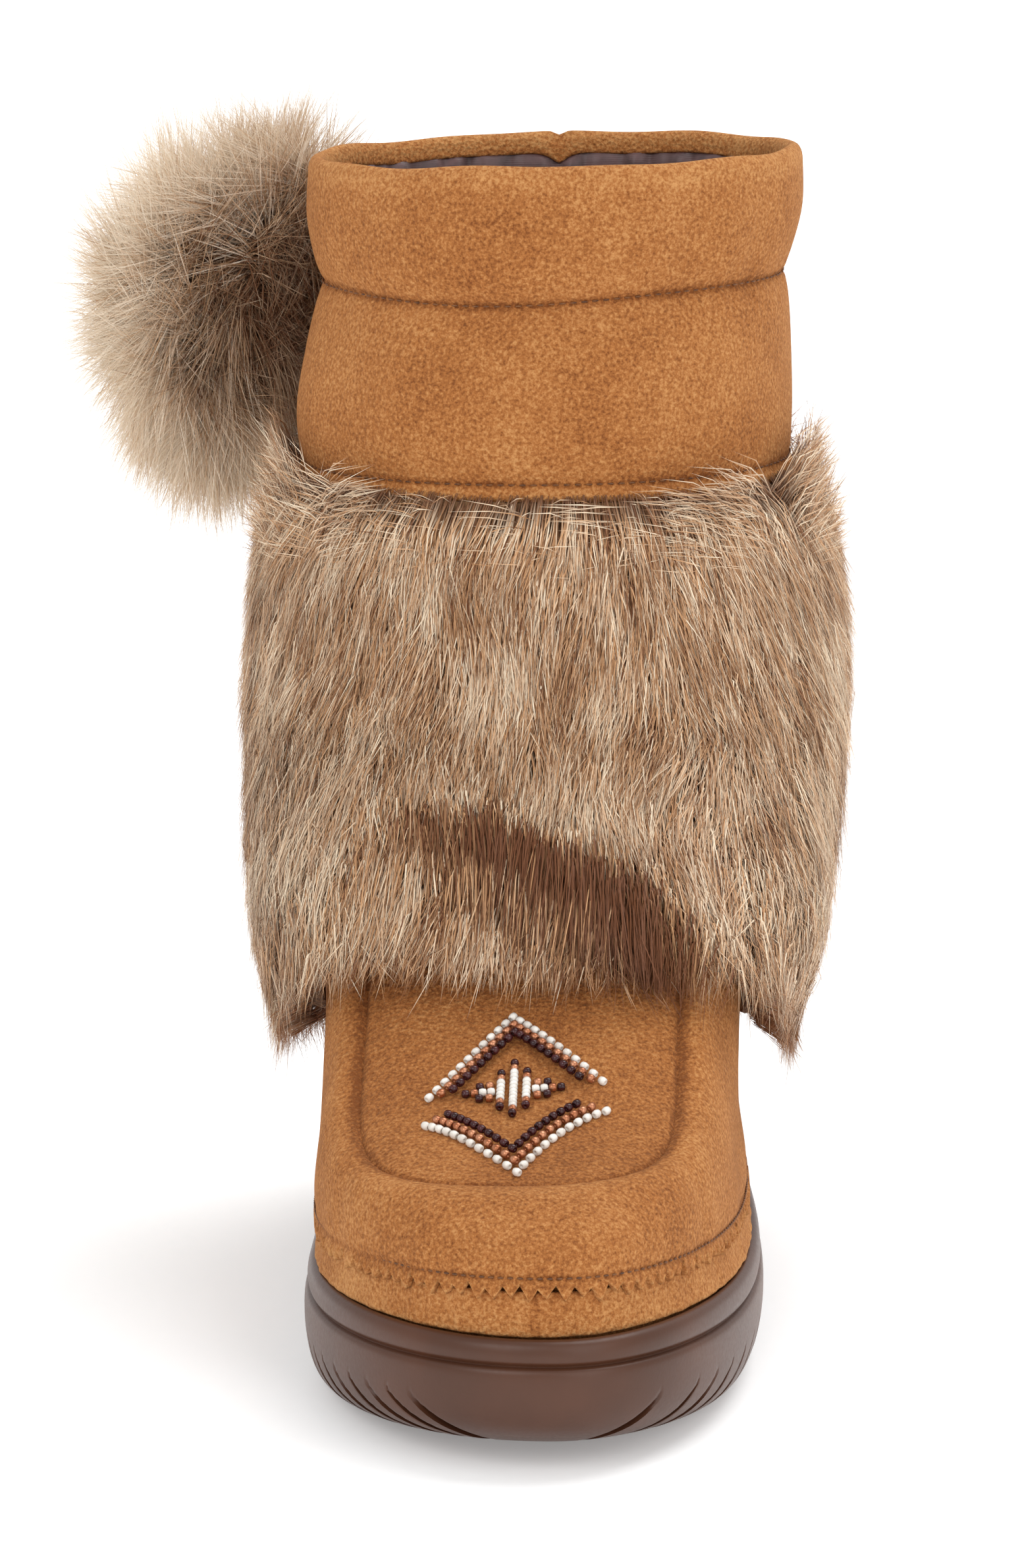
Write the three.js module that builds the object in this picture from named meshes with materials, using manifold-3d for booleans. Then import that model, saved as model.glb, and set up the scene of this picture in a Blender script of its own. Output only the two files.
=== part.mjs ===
// Mukluk boot for a right foot: a suede moccasin on a moulded rubber cup sole, with a soft suede
// shaft, a deep fur cuff round the ankle, a beaded apron over the toes and a fur pompom on a tab.
// Millimetres. +Z is up, the toe points along -Y, and +X is the boot's inner (medial) side.
// The origin lies on the floor, under the middle of the heel.
import * as THREE from "three";
import { mergeVertices } from "three/addons/utils/BufferGeometryUtils.js";
import Module from "manifold-3d";

const wasm = await Module();
wasm.setup();

// Sole, in plan: distances from the origin.
const toeReach = 240;
const heelReach = 38;
const outerReach = 53.5;
const innerReach = 53;
const outerBall = 138; // how far ahead of the origin the outer side is widest
const innerBall = 124;
const toeDrift = 5; // the toe's tip lies towards the inner side
const archPinch = 2.5; // how far the inner side draws in at the arch
const archAhead = 66; // the middle of the arch, ahead of the origin
const archLength = 56;

// Sole, from the side: heights above the floor.
const ballHeight = 26.5; // to the top of the lip
const heelHeight = 34;
const toeHeight = 31;
const toeSpring = 6.5; // how far the tip of the tread is off the floor
const springStart = 165; // where the tread leaves the floor, ahead of the origin
const toeTuck = 1.3; // how much further the wall curves under at the toe than at the sides
const heelSpring = 2.5;
const archLift = 2; // how far the tread is off the floor under the arch
const lipDepth = 4.5; // how far the lip stands above the face that the upper is cemented to
const lipWidth = 4.6;
const wallCurve = 9.5; // how far the wall curves in under the foot to the tread

// Upper, foot and shaft.
const ankleHeight = 110; // floor to where the foot becomes the shaft
const bootHeight = 272; // floor to the top of the rolled collar
const shaftBack = 31; // the shaft's middle, ahead of the origin
const collarWidth = 120;
const collarDepth = 118;
const wall = 3; // suede, wadding and lining together
const collarWall = 4.6;
const seamHeight = 241.5; // the stitched channel round the collar
const hemHeight = 193; // lower edge of the suede collar, lapped over the fur
const furSeat = 2; // how far the wall steps in under the fur
const seamNotch = 3; // depth of the dip in the rim at the back seam
const seamNotchWidth = 9;

// Overlays on the foot.
const gap = 0.3; // between pieces that touch
const randThickness = 1.5;
const randFlare = 1.4; // how much thicker the strip is where it sits on the lip
const randHeight = 8;
const vampThickness = 2.6;
const apronThickness = 1;
const toeWall = 29; // from the tip of the toe back to the apron's front seam
const apronFront = toeReach - toeWall; // the apron's front seam, ahead of the origin
const apronCorner = 47; // length of the apron's rounded front
const apronTop = 130; // the apron's hidden top edge, ahead of the origin
const apronHalfWidth = 35.6;
const apronMiddle = -3;

// Fur cuff and pompom.
const furDepth = 17;
const furHemFront = 94; // floor to the fur's lower edge over the instep
const furHemSide = 60;
const furHemBack = 50;
const furTop = hemHeight - 1; // the fur's upper edge, hidden by the collar's hem
const pomRadius = 29;
const pomHeight = 92;
const pomMiddle = new THREE.Vector3(-0.7 * collarWidth, 0.1 * collarDepth, 0.842 * bootHeight);
const beadSize = 2.1;

// Mesh steps.
const turns = 40;
const treadNotches = 8; // on each side of the sole

const mix = (a, b, t) => a + (b - a) * t;
const clamp01 = (t) => Math.min(1, Math.max(0, t));
const smooth = (a, b, v) => {
  const t = clamp01((v - a) / (b - a));
  return t * t * (3 - 2 * t);
};
const bell = (v, middle, width) => Math.exp(-(((v - middle) / width) ** 2));

// A point of a closed plan outline of four quarter superellipses. turn 0 is the heel's back,
// 0.25 the outer side, 0.5 the toe's tip and 0.75 the inner side.
function planPoint(outline, turn) {
  const whole = (((turn % 1) + 1) % 1) * 4;
  const quarter = Math.floor(whole);
  const along = whole - quarter;
  const angle = ((quarter % 2 ? 1 - along : along) * Math.PI) / 2;
  const ahead = quarter === 1 || quarter === 2;
  const power = ahead ? outline.toeSquare : outline.heelSquare;
  const reach = (Math.cos(angle) ** power + Math.sin(angle) ** power) ** (-1 / power);
  const endX = ahead ? outline.toeX : outline.heelX;
  const endY = ahead ? outline.front : outline.back;
  const sideX = quarter < 2 ? outline.outer : outline.inner;
  const sideY = quarter < 2 ? outline.outerWidest : outline.innerWidest;
  return new THREE.Vector3(
    endX + (sideX - endX) * reach * Math.sin(angle),
    sideY + (endY - sideY) * reach * Math.cos(angle),
    0,
  );
}

// Sole outline, and its height at each place along the foot.
const soleOutline = {
  front: -toeReach,
  back: heelReach,
  outer: -outerReach,
  inner: innerReach,
  outerWidest: -outerBall,
  innerWidest: -innerBall,
  toeX: toeDrift,
  heelX: 0,
  toeSquare: 2.15,
  heelSquare: 2.8,
};
const archPull = (y) => archPinch * bell(y, -archAhead, archLength * 0.6);
const heelFlat = 12; // how far behind the origin the heel's tread stays flat
const treadHeight = (y) =>
  toeSpring * clamp01((-y - springStart) / (toeReach - springStart)) ** 2 +
  heelSpring * clamp01((y - heelFlat) / (heelReach - heelFlat)) ** 2 +
  archLift * clamp01(1 - ((y + archAhead) / (archLength / 2)) ** 2) ** 2;
const lipHeight = (y) =>
  ballHeight +
  (toeHeight - ballHeight) * smooth(outerBall, toeReach, -y) +
  (heelHeight - ballHeight) * (1 - smooth(0, outerBall, -y));

// A point on the sole: out is the distance outside the plan outline, up is the share of the
// height from the tread to the top of the lip.
function solePoint(turn, out, up) {
  const step = 1e-3;
  const p = planPoint(soleOutline, turn);
  const along = planPoint(soleOutline, turn + step).sub(planPoint(soleOutline, turn - step));
  const outward = new THREE.Vector3(along.y, -along.x, 0).normalize();
  if (p.x > 0) p.x -= archPull(p.y);
  const tuck = up < 0.6 ? toeTuck * smooth(springStart, toeReach, -p.y) * (1 - up / 0.6) : 0;
  p.addScaledVector(outward, out < 0 ? out * (1 + tuck) : out);
  p.z = mix(treadHeight(p.y), lipHeight(p.y), up);
  return p;
}

// Geometry from rings of points. Each ring has the same number of points and closes on itself.
// From the band numbered turnedFrom on, each face is split along its other diagonal, so that an
// inner face listed from the top down is faceted like the outer face that it follows.
function ringFaces(rings, closeEnds, turnedFrom = Infinity) {
  const n = rings[0].length;
  const faces = [];
  const bands = closeEnds ? rings.length : rings.length - 1;
  for (let i = 0; i < bands; i++) {
    const low = i * n;
    const high = ((i + 1) % rings.length) * n;
    for (let j = 0; j < n; j++) {
      const k = (j + 1) % n;
      if (i < turnedFrom) faces.push(low + j, low + k, high + k, low + j, high + k, high + j);
      else faces.push(low + j, low + k, high + j, low + k, high + k, high + j);
    }
  }
  return faces;
}

// Faces across a ring, as a ladder between its two halves.
function ladderFaces(start, n, upward) {
  const faces = [];
  const add = (a, b, c) => faces.push(start + a, start + (upward ? b : c), start + (upward ? c : b));
  for (let j = 0, k = n - 1; j + 1 < k; j++, k--) {
    add(j, j + 1, k);
    if (j + 1 < k - 1) add(j + 1, k - 1, k);
  }
  return faces;
}

function geometryOf(points, faces) {
  const geometry = new THREE.BufferGeometry();
  geometry.setAttribute("position", new THREE.Float32BufferAttribute(points.flatMap((p) => p.toArray()), 3));
  geometry.setIndex(faces);
  return geometry;
}

// A hollow wall or a ring: the last ring joins the first.
const loopSolid = (outer, inner) => {
  const rings = [...outer, ...inner];
  return solidOf(geometryOf(rings.flat(), ringFaces(rings, true, outer.length)));
};

// A solid stack of rings, closed across its first and last ring.
function stackSolid(rings) {
  const n = rings[0].length;
  const faces = ringFaces(rings, false);
  faces.push(...ladderFaces(0, n, false), ...ladderFaces((rings.length - 1) * n, n, true));
  return solidOf(geometryOf(rings.flat(), faces));
}

// A thin slab between two grids of points, rows by columns, the first on its outer face.
const slabSolid = (outer, inner) =>
  stackSolid(outer.map((row, r) => [...row, ...[...inner[r]].reverse()]));

function solidOf(geometry) {
  const plain = geometry.index ? geometry.toNonIndexed() : geometry.clone();
  plain.deleteAttribute("normal");
  plain.deleteAttribute("uv");
  const merged = mergeVertices(plain, 1e-4);
  const made = new wasm.Manifold(
    new wasm.Mesh({
      numProp: 3,
      vertProperties: new Float32Array(merged.attributes.position.array),
      triVerts: new Uint32Array(merged.index.array),
    }),
  );
  if (made.volume() > 0) return made;
  const index = merged.index.array;
  const turned = new Uint32Array(index.length);
  for (let i = 0; i < index.length; i += 3) turned.set([index[i], index[i + 2], index[i + 1]], i);
  return new wasm.Manifold(
    new wasm.Mesh({
      numProp: 3,
      vertProperties: new Float32Array(merged.attributes.position.array),
      triVerts: turned,
    }),
  );
}

// Without the pockets shut in between fused locks.
const filled = (solid) => wasm.Manifold.union(solid.decompose().filter((body) => body.volume() > 0));

function geometryFrom(solid) {
  const mesh = solid.getMesh();
  const positions = new Float32Array(mesh.numVert * 3);
  for (let i = 0; i < mesh.numVert; i++) {
    positions.set(mesh.vertProperties.subarray(i * mesh.numProp, i * mesh.numProp + 3), i * 3);
  }
  const geometry = new THREE.BufferGeometry();
  geometry.setAttribute("position", new THREE.BufferAttribute(positions, 3));
  geometry.setIndex(new THREE.BufferAttribute(new Uint32Array(mesh.triVerts), 1));
  geometry.computeVertexNormals();
  return geometry;
}

const eachTurn = (count, make) => Array.from({ length: count }, (_, j) => make(j / count));

// Sections of the foot, from the feather edge on the sole up to the ankle. up is a share of the
// ankle's height; ahead, widest and tip are shares of the toe's reach, behind of the heel's reach,
// outer and inner of the sole's half widths; toe and heel are how square each end is.
const footColumns = ["up", "ahead", "behind", "outer", "inner", "widest", "tip", "toe", "heel"];
const footSections = [
  [0.204, 0.962, 0.83, 0.89, 0.89, 1.0, 0.017, 2.1, 2.8],
  [0.3, 0.967, 0.87, 0.9, 0.88, 1.0, 0.017, 2.1, 2.8],
  [0.39, 0.957, 0.89, 0.9, 0.86, 0.99, 0.016, 2.2, 2.8],
  [0.445, 0.932, 0.89, 0.893, 0.845, 0.97, 0.012, 2.45, 2.8],
  [0.485, 0.885, 0.885, 0.885, 0.835, 0.93, 0.004, 2.9, 2.8],
  [0.535, 0.813, 0.87, 0.88, 0.83, 0.86, -0.004, 3.5, 2.8],
  [0.61, 0.733, 0.85, 0.878, 0.83, 0.78, -0.008, 4.0, 2.7],
  [0.715, 0.655, 0.82, 0.884, 0.84, 0.69, -0.008, 4.0, 2.6],
  [0.845, 0.576, 0.78, 0.92, 0.89, 0.58, -0.008, 3.4, 2.5],
  [1.0, 0.49, 0.75, 0.99, 0.965, 0.45, -0.006, 2.7, 2.4],
];

// Sections of the shaft and collar. up is a share of the way from the ankle to the collar's top,
// ahead and behind are shares of half the collar's depth, outer and inner of half its width.
const shaftColumns = ["up", "ahead", "behind", "outer", "inner", "square"];
const shaftSections = [
  [0.14, 1.2, 1.0, 0.958, 0.93, 2.3],
  [0.31, 1.09, 1.0, 0.985, 0.95, 2.15],
  [0.49, 1.035, 1.005, 1.01, 0.965, 2.1],
  [0.605, 1.05, 1.025, 1.035, 0.98, 2.1],
  [0.71, 1.025, 1.01, 1.0, 0.972, 2.1],
  [0.778, 0.985, 0.975, 0.963, 0.96, 2.1],
  [0.812, 0.96, 0.955, 0.945, 0.952, 2.1],
  [0.846, 0.985, 0.975, 0.968, 0.975, 2.1],
  [0.91, 1.01, 1.0, 0.997, 1.015, 2.1],
  [0.975, 1.0, 1.0, 0.99, 1.015, 2.1],
];

const named = (columns, row) => Object.fromEntries(columns.map((name, i) => [name, row[i]]));
const sections = [
  ...footSections.map((row) => {
    const s = named(footColumns, row);
    return {
      z: s.up * ankleHeight,
      front: -s.ahead * toeReach,
      back: s.behind * heelReach,
      outer: -s.outer * outerReach,
      inner: s.inner * innerReach,
      outerWidest: -s.widest * outerBall,
      innerWidest: -s.widest * innerBall,
      toeX: s.tip * toeReach,
      heelX: 0,
      toeSquare: s.toe,
      heelSquare: s.heel,
    };
  }),
  ...shaftSections.map((row) => {
    const s = named(shaftColumns, row);
    return {
      z: mix(ankleHeight, bootHeight, s.up),
      front: -shaftBack - (s.ahead * collarDepth) / 2,
      back: -shaftBack + (s.behind * collarDepth) / 2,
      outer: (-s.outer * collarWidth) / 2,
      inner: (s.inner * collarWidth) / 2,
      outerWidest: -shaftBack,
      innerWidest: -shaftBack,
      toeX: 0,
      heelX: 0,
      toeSquare: s.square,
      heelSquare: s.square,
    };
  }),
];
const topLevel = sections.length - 1;

// The section at a level between the rows, on a smooth curve through them.
function sectionAt(level) {
  const at = Math.min(topLevel - 1e-9, Math.max(0, level));
  const i = Math.floor(at);
  const t = at - i;
  const row = (k) => sections[Math.min(topLevel, Math.max(0, k))];
  const [a, b, c, d] = [row(i - 1), row(i), row(i + 1), row(i + 2)];
  const through = (name) =>
    0.5 *
    (2 * b[name] +
      (c[name] - a[name]) * t +
      (2 * a[name] - 5 * b[name] + 4 * c[name] - d[name]) * t * t +
      (3 * b[name] - a[name] - 3 * c[name] + d[name]) * t * t * t);
  return Object.fromEntries(Object.keys(b).map((name) => [name, through(name)]));
}

// The foot follows the rise of the sole under it, less and less up to the ankle.
const footLift = (y, z) => (lipHeight(y) - ballHeight) * (1 - smooth(0.4 * ankleHeight, ankleHeight, z));

// The boot's form: the outer face of the upper, without overlays, and its outward normal.
function formPoint(turn, level) {
  const section = sectionAt(level);
  const p = planPoint(section, turn);
  if (p.x > 0) p.x -= archPull(p.y) * (1 - smooth(0.3 * ankleHeight, 0.8 * ankleHeight, section.z));
  p.z = section.z + footLift(p.y, section.z);
  return p;
}
function formNormal(turn, level) {
  const step = 2e-3;
  const low = Math.max(0, level - 0.05);
  const high = Math.min(topLevel, level + 0.05);
  const round = formPoint(turn + step, level).sub(formPoint(turn - step, level));
  const rise = formPoint(turn, high).sub(formPoint(turn, low));
  return round.cross(rise).normalize();
}
const formOffset = (turn, level, out) =>
  formPoint(turn, level).addScaledVector(formNormal(turn, level), out);

// The level at which the form reaches a height at this turn.
function levelAtHeight(turn, z) {
  let low = 0;
  let high = topLevel;
  for (let i = 0; i < 40; i++) {
    const middle = (low + high) / 2;
    if (formPoint(turn, middle).z < z) low = middle;
    else high = middle;
  }
  return (low + high) / 2;
}

// Turn and level of the form above a place in plan, on the top of the foot.
function overFoot(x, y) {
  let turn = 0.5 - x / (7.5 * outerReach);
  let level = 4.5;
  for (let i = 0; i < 30; i++) {
    const p = formPoint(turn, level);
    const dx = x - p.x;
    const dy = y - p.y;
    if (Math.hypot(dx, dy) < 1e-5) break;
    const h = 1e-3;
    const a = formPoint(turn + h, level).sub(p).divideScalar(h);
    const b = formPoint(turn, level + h).sub(p).divideScalar(h);
    const det = a.x * b.y - b.x * a.y;
    const stepTurn = (dx * b.y - dy * b.x) / det;
    const stepLevel = (dy * a.x - dx * a.y) / det;
    turn += Math.min(0.04, Math.max(-0.04, stepTurn));
    level = Math.min(topLevel, Math.max(0.2, level + Math.min(0.8, Math.max(-0.8, stepLevel))));
  }
  return { turn, level };
}

const vampLevels = [2.9, 4, 5, 6.4, 8.1];

// Rows of the wall's outer face. It is stepped in under the fur and drawn in at the channel seam.
const seatOut = (level) => -furSeat * smooth(8.3, 9.3, level);
const hemLevel = levelAtHeight(0, hemHeight);
const onCollar = (share) => mix(hemLevel, topLevel, share);
const wallRows = [
  ...[0, 1.2, ...vampLevels, 9, 10, 11.2].map((level) => ({ level, out: seatOut(level) })),
  { level: hemLevel - 0.02, out: -furSeat },
  { level: hemLevel + 0.02, out: 0 },
  ...[0.12, 0.45, 0.61, 0.69, 0.77, 1].map((share) => ({ level: onCollar(share), out: 0 })),
];
const liningRows = [
  ...[1, 0.69, 0.3].map(onCollar),
  ...[11.2, 9.6, 8.1, 6.4, 5, 3.8, 2.4, 0],
].map((level) => ({
  level,
  out: (level < hemLevel ? seatOut(level) : 0) - mix(wall, collarWall, smooth(hemLevel, topLevel, level)),
}));
const wallRing = ({ level, out }) => eachTurn(turns, (turn) => formOffset(turn, level, out));

// The space inside the wall's outer face, grown by a clearance. Overlays are cut back to it.
const wallSpace = (grown) =>
  stackSolid(wallRows.map(({ level, out }) => wallRing({ level, out: out + grown })));

// Upper: one hollow wall from the feather edge to a rolled collar.
function makeUpper() {
  const outer = wallRows.map(wallRing);
  const inner = liningRows.map(wallRing);
  const rimRise = bootHeight - sections[topLevel].z;
  const rim = [0.25, 0.5, 0.75].map((share) => {
    const angle = share * Math.PI;
    const ring = wallRing({ level: topLevel, out: (-collarWall * (1 - Math.cos(angle))) / 2 });
    return ring.map((p) => p.setZ(p.z + Math.sin(angle) * rimRise));
  });
  // The rim dips at the back seam.
  const fromSeam = (turn) => (turn < 0.5 ? turn : turn - 1);
  for (const ring of [outer.at(-1), ...rim, inner[0]]) {
    ring.forEach((p, j) => {
      p.z -= seamNotch * bell(fromSeam(j / turns), 0, seamNotchWidth / (Math.PI * collarWidth));
    });
  }
  return loopSolid([...outer, ...rim], inner);
}

// Outsole: the wall's section. out is from the plan outline, as a share of the wall's curve, and
// up is the share of the height from the tread to the top of the lip.
const soleWall = [
  { out: -1, up: 0 },
  { out: -0.526, up: 0.05 },
  { out: -0.21, up: 0.17 },
  { out: -0.042, up: 0.37 },
  { out: 0, up: 0.58 },
  { out: -0.042, up: 0.735 },
  { out: -0.2, up: 0.775 },
  { out: -0.095, up: 0.82 },
  { out: -0.105, up: 0.91 },
  { out: -0.253, up: 0.985 },
];
function makeOutsole() {
  const outside = soleWall.map(({ out, up }) =>
    eachTurn(turns, (turn) => solePoint(turn, out * wallCurve, up)),
  );
  const ledge = (out, down) =>
    eachTurn(turns, (turn) => {
      const p = solePoint(turn, out, 1);
      p.z -= down;
      return p;
    });
  const inside = [ledge(-lipWidth + 0.6, 0), ledge(-lipWidth, 0.6), ledge(-lipWidth - 0.2, lipDepth)];
  const rings = [...outside, ...inside];
  let sole = stackSolid(rings);
  for (const side of [0, 1]) {
    for (let k = 0; k < treadNotches; k++) {
      const start = mix(0.088, 0.42, k / (treadNotches - 1));
      sole = sole.subtract(notchCutter(side ? 1 - start : start, side ? -1 : 1));
    }
  }
  return sole;
}

// A claw-shaped groove: it starts as a point half way up the wall, and runs down, forwards and
// under the tread, wider and deeper as it goes.
const notchTip = 0.52; // share of the wall's height
const notchWidth = 4;
const notchDepth = 3.2;
const notchSweep = 0.024; // how far it runs towards the toe, in turns
const notchStations = [
  { along: 0, out: 0.02, up: notchTip, size: 0.12, lean: 0 },
  { along: 0.35, out: -0.105, up: 0.26, size: 0.75, lean: 0.3 },
  { along: 0.7, out: -0.526, up: 0.04, size: 1, lean: 0.8 },
  { along: 1, out: -1.158, up: 0, size: 1.1, lean: 1 },
];
function notchCutter(start, direction) {
  const rings = notchStations.map(({ along, out, up, size, lean }) => {
    const turn = start + direction * notchSweep * along;
    const at = solePoint(turn, out * wallCurve, up);
    const before = solePoint(turn - 1e-3, out * wallCurve, up);
    const across = solePoint(turn + 1e-3, out * wallCurve, up).sub(before).setZ(0).normalize();
    const outward = new THREE.Vector3(across.y, -across.x, 0);
    const away = outward.multiplyScalar(1 - lean).add(new THREE.Vector3(0, 0, -lean)).normalize();
    const half = (notchWidth * size) / 2;
    const corner = (side, depth) =>
      at.clone().addScaledVector(across, side * half).addScaledVector(away, -depth * size);
    const deep = [corner(0.45, notchDepth), corner(-0.45, notchDepth)];
    return [corner(-1, -notchDepth), corner(1, -notchDepth), ...deep];
  });
  return stackSolid(rings);
}

// Insole: a flat bed on the sole's face, inside the upper.
const insoleThickness = 4;
const insoleRise = (y) => lipHeight(y) - lipDepth;
function makeInsole() {
  const edge = (down) =>
    eachTurn(turns, (turn) => {
      const p = formOffset(turn, 0.35, -wall - 1.2);
      p.z = insoleRise(p.y) + gap + down;
      return p;
    });
  return stackSolid([edge(0), edge(insoleThickness)]);
}

// Rand: the strip of suede that closes the upper on to the lip.
const randFoot = (turn) =>
  levelAtHeight(turn, lipHeight(formOffset(turn, 0, randThickness + randFlare).y) + gap + 0.1);
const randTop = (turn) => levelAtHeight(turn, formPoint(turn, randFoot(turn)).z + randHeight);
function makeRand() {
  const ring = (share, out) =>
    eachTurn(turns, (turn) => formOffset(turn, mix(randFoot(turn), randTop(turn), share), out));
  const outside = [0, 0.45, 1].map((share) =>
    ring(share, gap + randThickness + randFlare * (1 - share) ** 2),
  );
  return loopSolid(outside, [ring(1, gap), ring(0, gap)]);
}

// Outline in plan of the apron, or of the window for it: straight sides and a rounded front.
const apronSteps = 14;
const apronSquare = 2.7;
const apronBow = (across) => apronCorner * (1 - (1 - Math.abs(across) ** apronSquare) ** (1 / apronSquare));

// Apron: the plug over the toes, set below the vamp's edge.
function apronSlab(outerOut, clear) {
  const columns = apronSteps;
  const rows = 6;
  const face = (out) =>
    Array.from({ length: rows + 1 }, (_, r) =>
      Array.from({ length: columns + 1 }, (_, c) => {
        const across = -Math.cos((c / columns) * Math.PI);
        const x = apronMiddle + across * (apronHalfWidth - clear);
        const start = -apronFront + clear + apronBow(across);
        const at = overFoot(x, mix(start, -apronTop, r / rows));
        return formOffset(at.turn, at.level, out);
      }),
    );
  return slabSolid(face(outerOut), face(-1));
}
const makeApron = () => apronSlab(gap + apronThickness, 3 * gap).subtract(wallSpace(gap));

// Vamp: the moccasin's wall, all round the foot from the rand up to an edge hidden by the fur,
// with a window whose edge is the seam to the apron.
function makeVamp() {
  const low = (turn) => levelAtHeight(turn, formPoint(turn, randTop(turn)).z + gap + 0.1);
  const lowest = (out) => eachTurn(turns, (turn) => formOffset(turn, low(turn), out));
  const ring = (level, out) => (level ? wallRing({ level, out }) : lowest(out));
  const levels = [0, ...vampLevels];
  const outside = levels.map((level) => ring(level, gap + vampThickness));
  const inside = levels.map((level) => ring(level, gap)).reverse();
  const outline = Array.from({ length: apronSteps + 1 }, (_, i) => {
    const across = -Math.cos((i / apronSteps) * Math.PI);
    return new THREE.Vector2(apronMiddle + across * apronHalfWidth, -apronFront + apronBow(across));
  });
  outline.push(new THREE.Vector2(apronMiddle + apronHalfWidth, -shaftBack));
  outline.push(new THREE.Vector2(apronMiddle - apronHalfWidth, -shaftBack));
  const shape = new THREE.Shape(outline);
  const window = new THREE.ExtrudeGeometry(shape, { depth: bootHeight, bevelEnabled: false, steps: 1 });
  window.translate(0, 0, heelHeight);
  return loopSolid(outside, inside).subtract(solidOf(window));
}

// Fur cuff: a padded sleeve round the ankle, with hanging locks fused on in rows. The hair hangs
// straight down at the sides, and down the slope of the instep in front: column is the turn at
// the top of the cuff, and furTurn is the turn where that column passes a level of the form.
// ahead is a share of the toe's reach, and z is the hem's height there.
const furHem = [
  { ahead: -0.17, z: furHemBack },
  { ahead: 0.083, z: furHemBack },
  { ahead: 0.25, z: furHemSide },
  { ahead: 0.417, z: mix(furHemSide, furHemFront, 0.35) },
  { ahead: 0.542, z: mix(furHemSide, furHemFront, 0.75) },
  { ahead: 0.592, z: furHemFront },
  { ahead: 0.833, z: furHemFront + furHemSide },
].map(({ ahead, z }) => ({ ahead: ahead * toeReach, z }));
function hemHeightAt(y) {
  const i = Math.max(1, furHem.findIndex((row) => row.ahead >= -y));
  const [a, b] = [furHem[i - 1], furHem[i]];
  return mix(a.z, b.z, (-y - a.ahead) / (b.ahead - a.ahead));
}
function furTurn(column, level) {
  const half = column <= 0.5 ? column : 1 - column;
  const turn = 0.5 * (2 * half) ** mix(2, 1, smooth(5, 11, level));
  return column <= 0.5 ? turn : 1 - turn;
}
function hemLevelAt(column) {
  let low = 0;
  let high = topLevel;
  for (let i = 0; i < 40; i++) {
    const middle = (low + high) / 2;
    const p = formPoint(furTurn(column, middle), middle);
    if (p.z < hemHeightAt(p.y)) low = middle;
    else high = middle;
  }
  return low;
}
const furTopLevel = levelAtHeight(0, furTop);
const hemSteps = 240;
const furLevels = Array.from({ length: hemSteps + 1 }, (_, i) => hemLevelAt(i / hemSteps));
function furLevel(column, share) {
  const at = (((column % 1) + 1) % 1) * hemSteps;
  const i = Math.floor(at);
  const hem = mix(furLevels[i], furLevels[i + 1], at - i);
  const p = formPoint(furTurn(column, hem), hem);
  return levelAtHeight(column, mix(p.z, furTop, share));
}
const furProfile = [
  { share: 0, depth: 0.5 },
  { share: 0.12, depth: 1.15 },
  { share: 0.3, depth: 1.25 },
  { share: 0.5, depth: 1.08 },
  { share: 0.75, depth: 0.95 },
  { share: 0.9, depth: 0.78 },
  { share: 1, depth: 0.5 },
];
// A crease over the instep, where the cuff folds between the shaft and the foot.
const creaseShare = 0.3;
const creaseDepth = 5;
const creaseReach = 0.13; // how far it runs to each side, in turns
function furOut(column, share) {
  const found = furProfile.findIndex((row) => row.share >= share);
  const i = found < 1 ? 1 : found;
  const [a, b] = [furProfile[i - 1], furProfile[i]];
  const depth = mix(a.depth, b.depth, clamp01((share - a.share) / (b.share - a.share)));
  const front = bell(column, 0.5, creaseReach);
  const crease = creaseDepth * front * bell(share, creaseShare * (1.25 - 0.25 / front ** 0.4), 0.07);
  return furDepth * depth * (1 - 0.25 * front * (1 - share)) - crease;
}
function furPoint(column, share, out) {
  const level = furLevel(column, share);
  return formOffset(furTurn(column, level), level, out);
}
const vary = (k) => Math.sin(k * 7.3 + 1.1);
const furRows = [
  { from: 0.95, to: 0.55, count: 11, shift: 0 },
  { from: 0.66, to: 0.22, count: 11, shift: 0.5 },
  { from: 0.34, to: -0.06, count: 13, shift: 0.25 },
];
const furColumns = 26;
const lockWidth = 19;
const lockDepth = 5;
function makeFurLock(column, row, k) {
  const reach = row.to + 0.03 * vary(k);
  const rings = [0, 0.55, 1].map((along, i) => {
    const share = mix(row.from, reach, along);
    const out = furOut(column, Math.max(0, share)) + [-4, 0.5 + 0.8 * vary(k + 5), -2.5][i];
    const centre = furPoint(column, share, out);
    const outward = furPoint(column, share, out + 1).sub(centre);
    const across = furPoint(column + 2e-3, share, out).sub(furPoint(column - 2e-3, share, out)).normalize();
    const half = (lockWidth / 2) * [0.8, 1, 0.25][i];
    const deep = lockDepth * [0.5, 0.8, 0.3][i];
    const corner = (a, b) =>
      centre.clone().addScaledVector(across, a * half).addScaledVector(outward, b * deep);
    return [corner(-1, -1), corner(1, -1), corner(0, 1)];
  });
  return stackSolid(rings);
}
const furClear = 0.4;
const overlayOut = vampThickness + 4 * gap;
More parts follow.
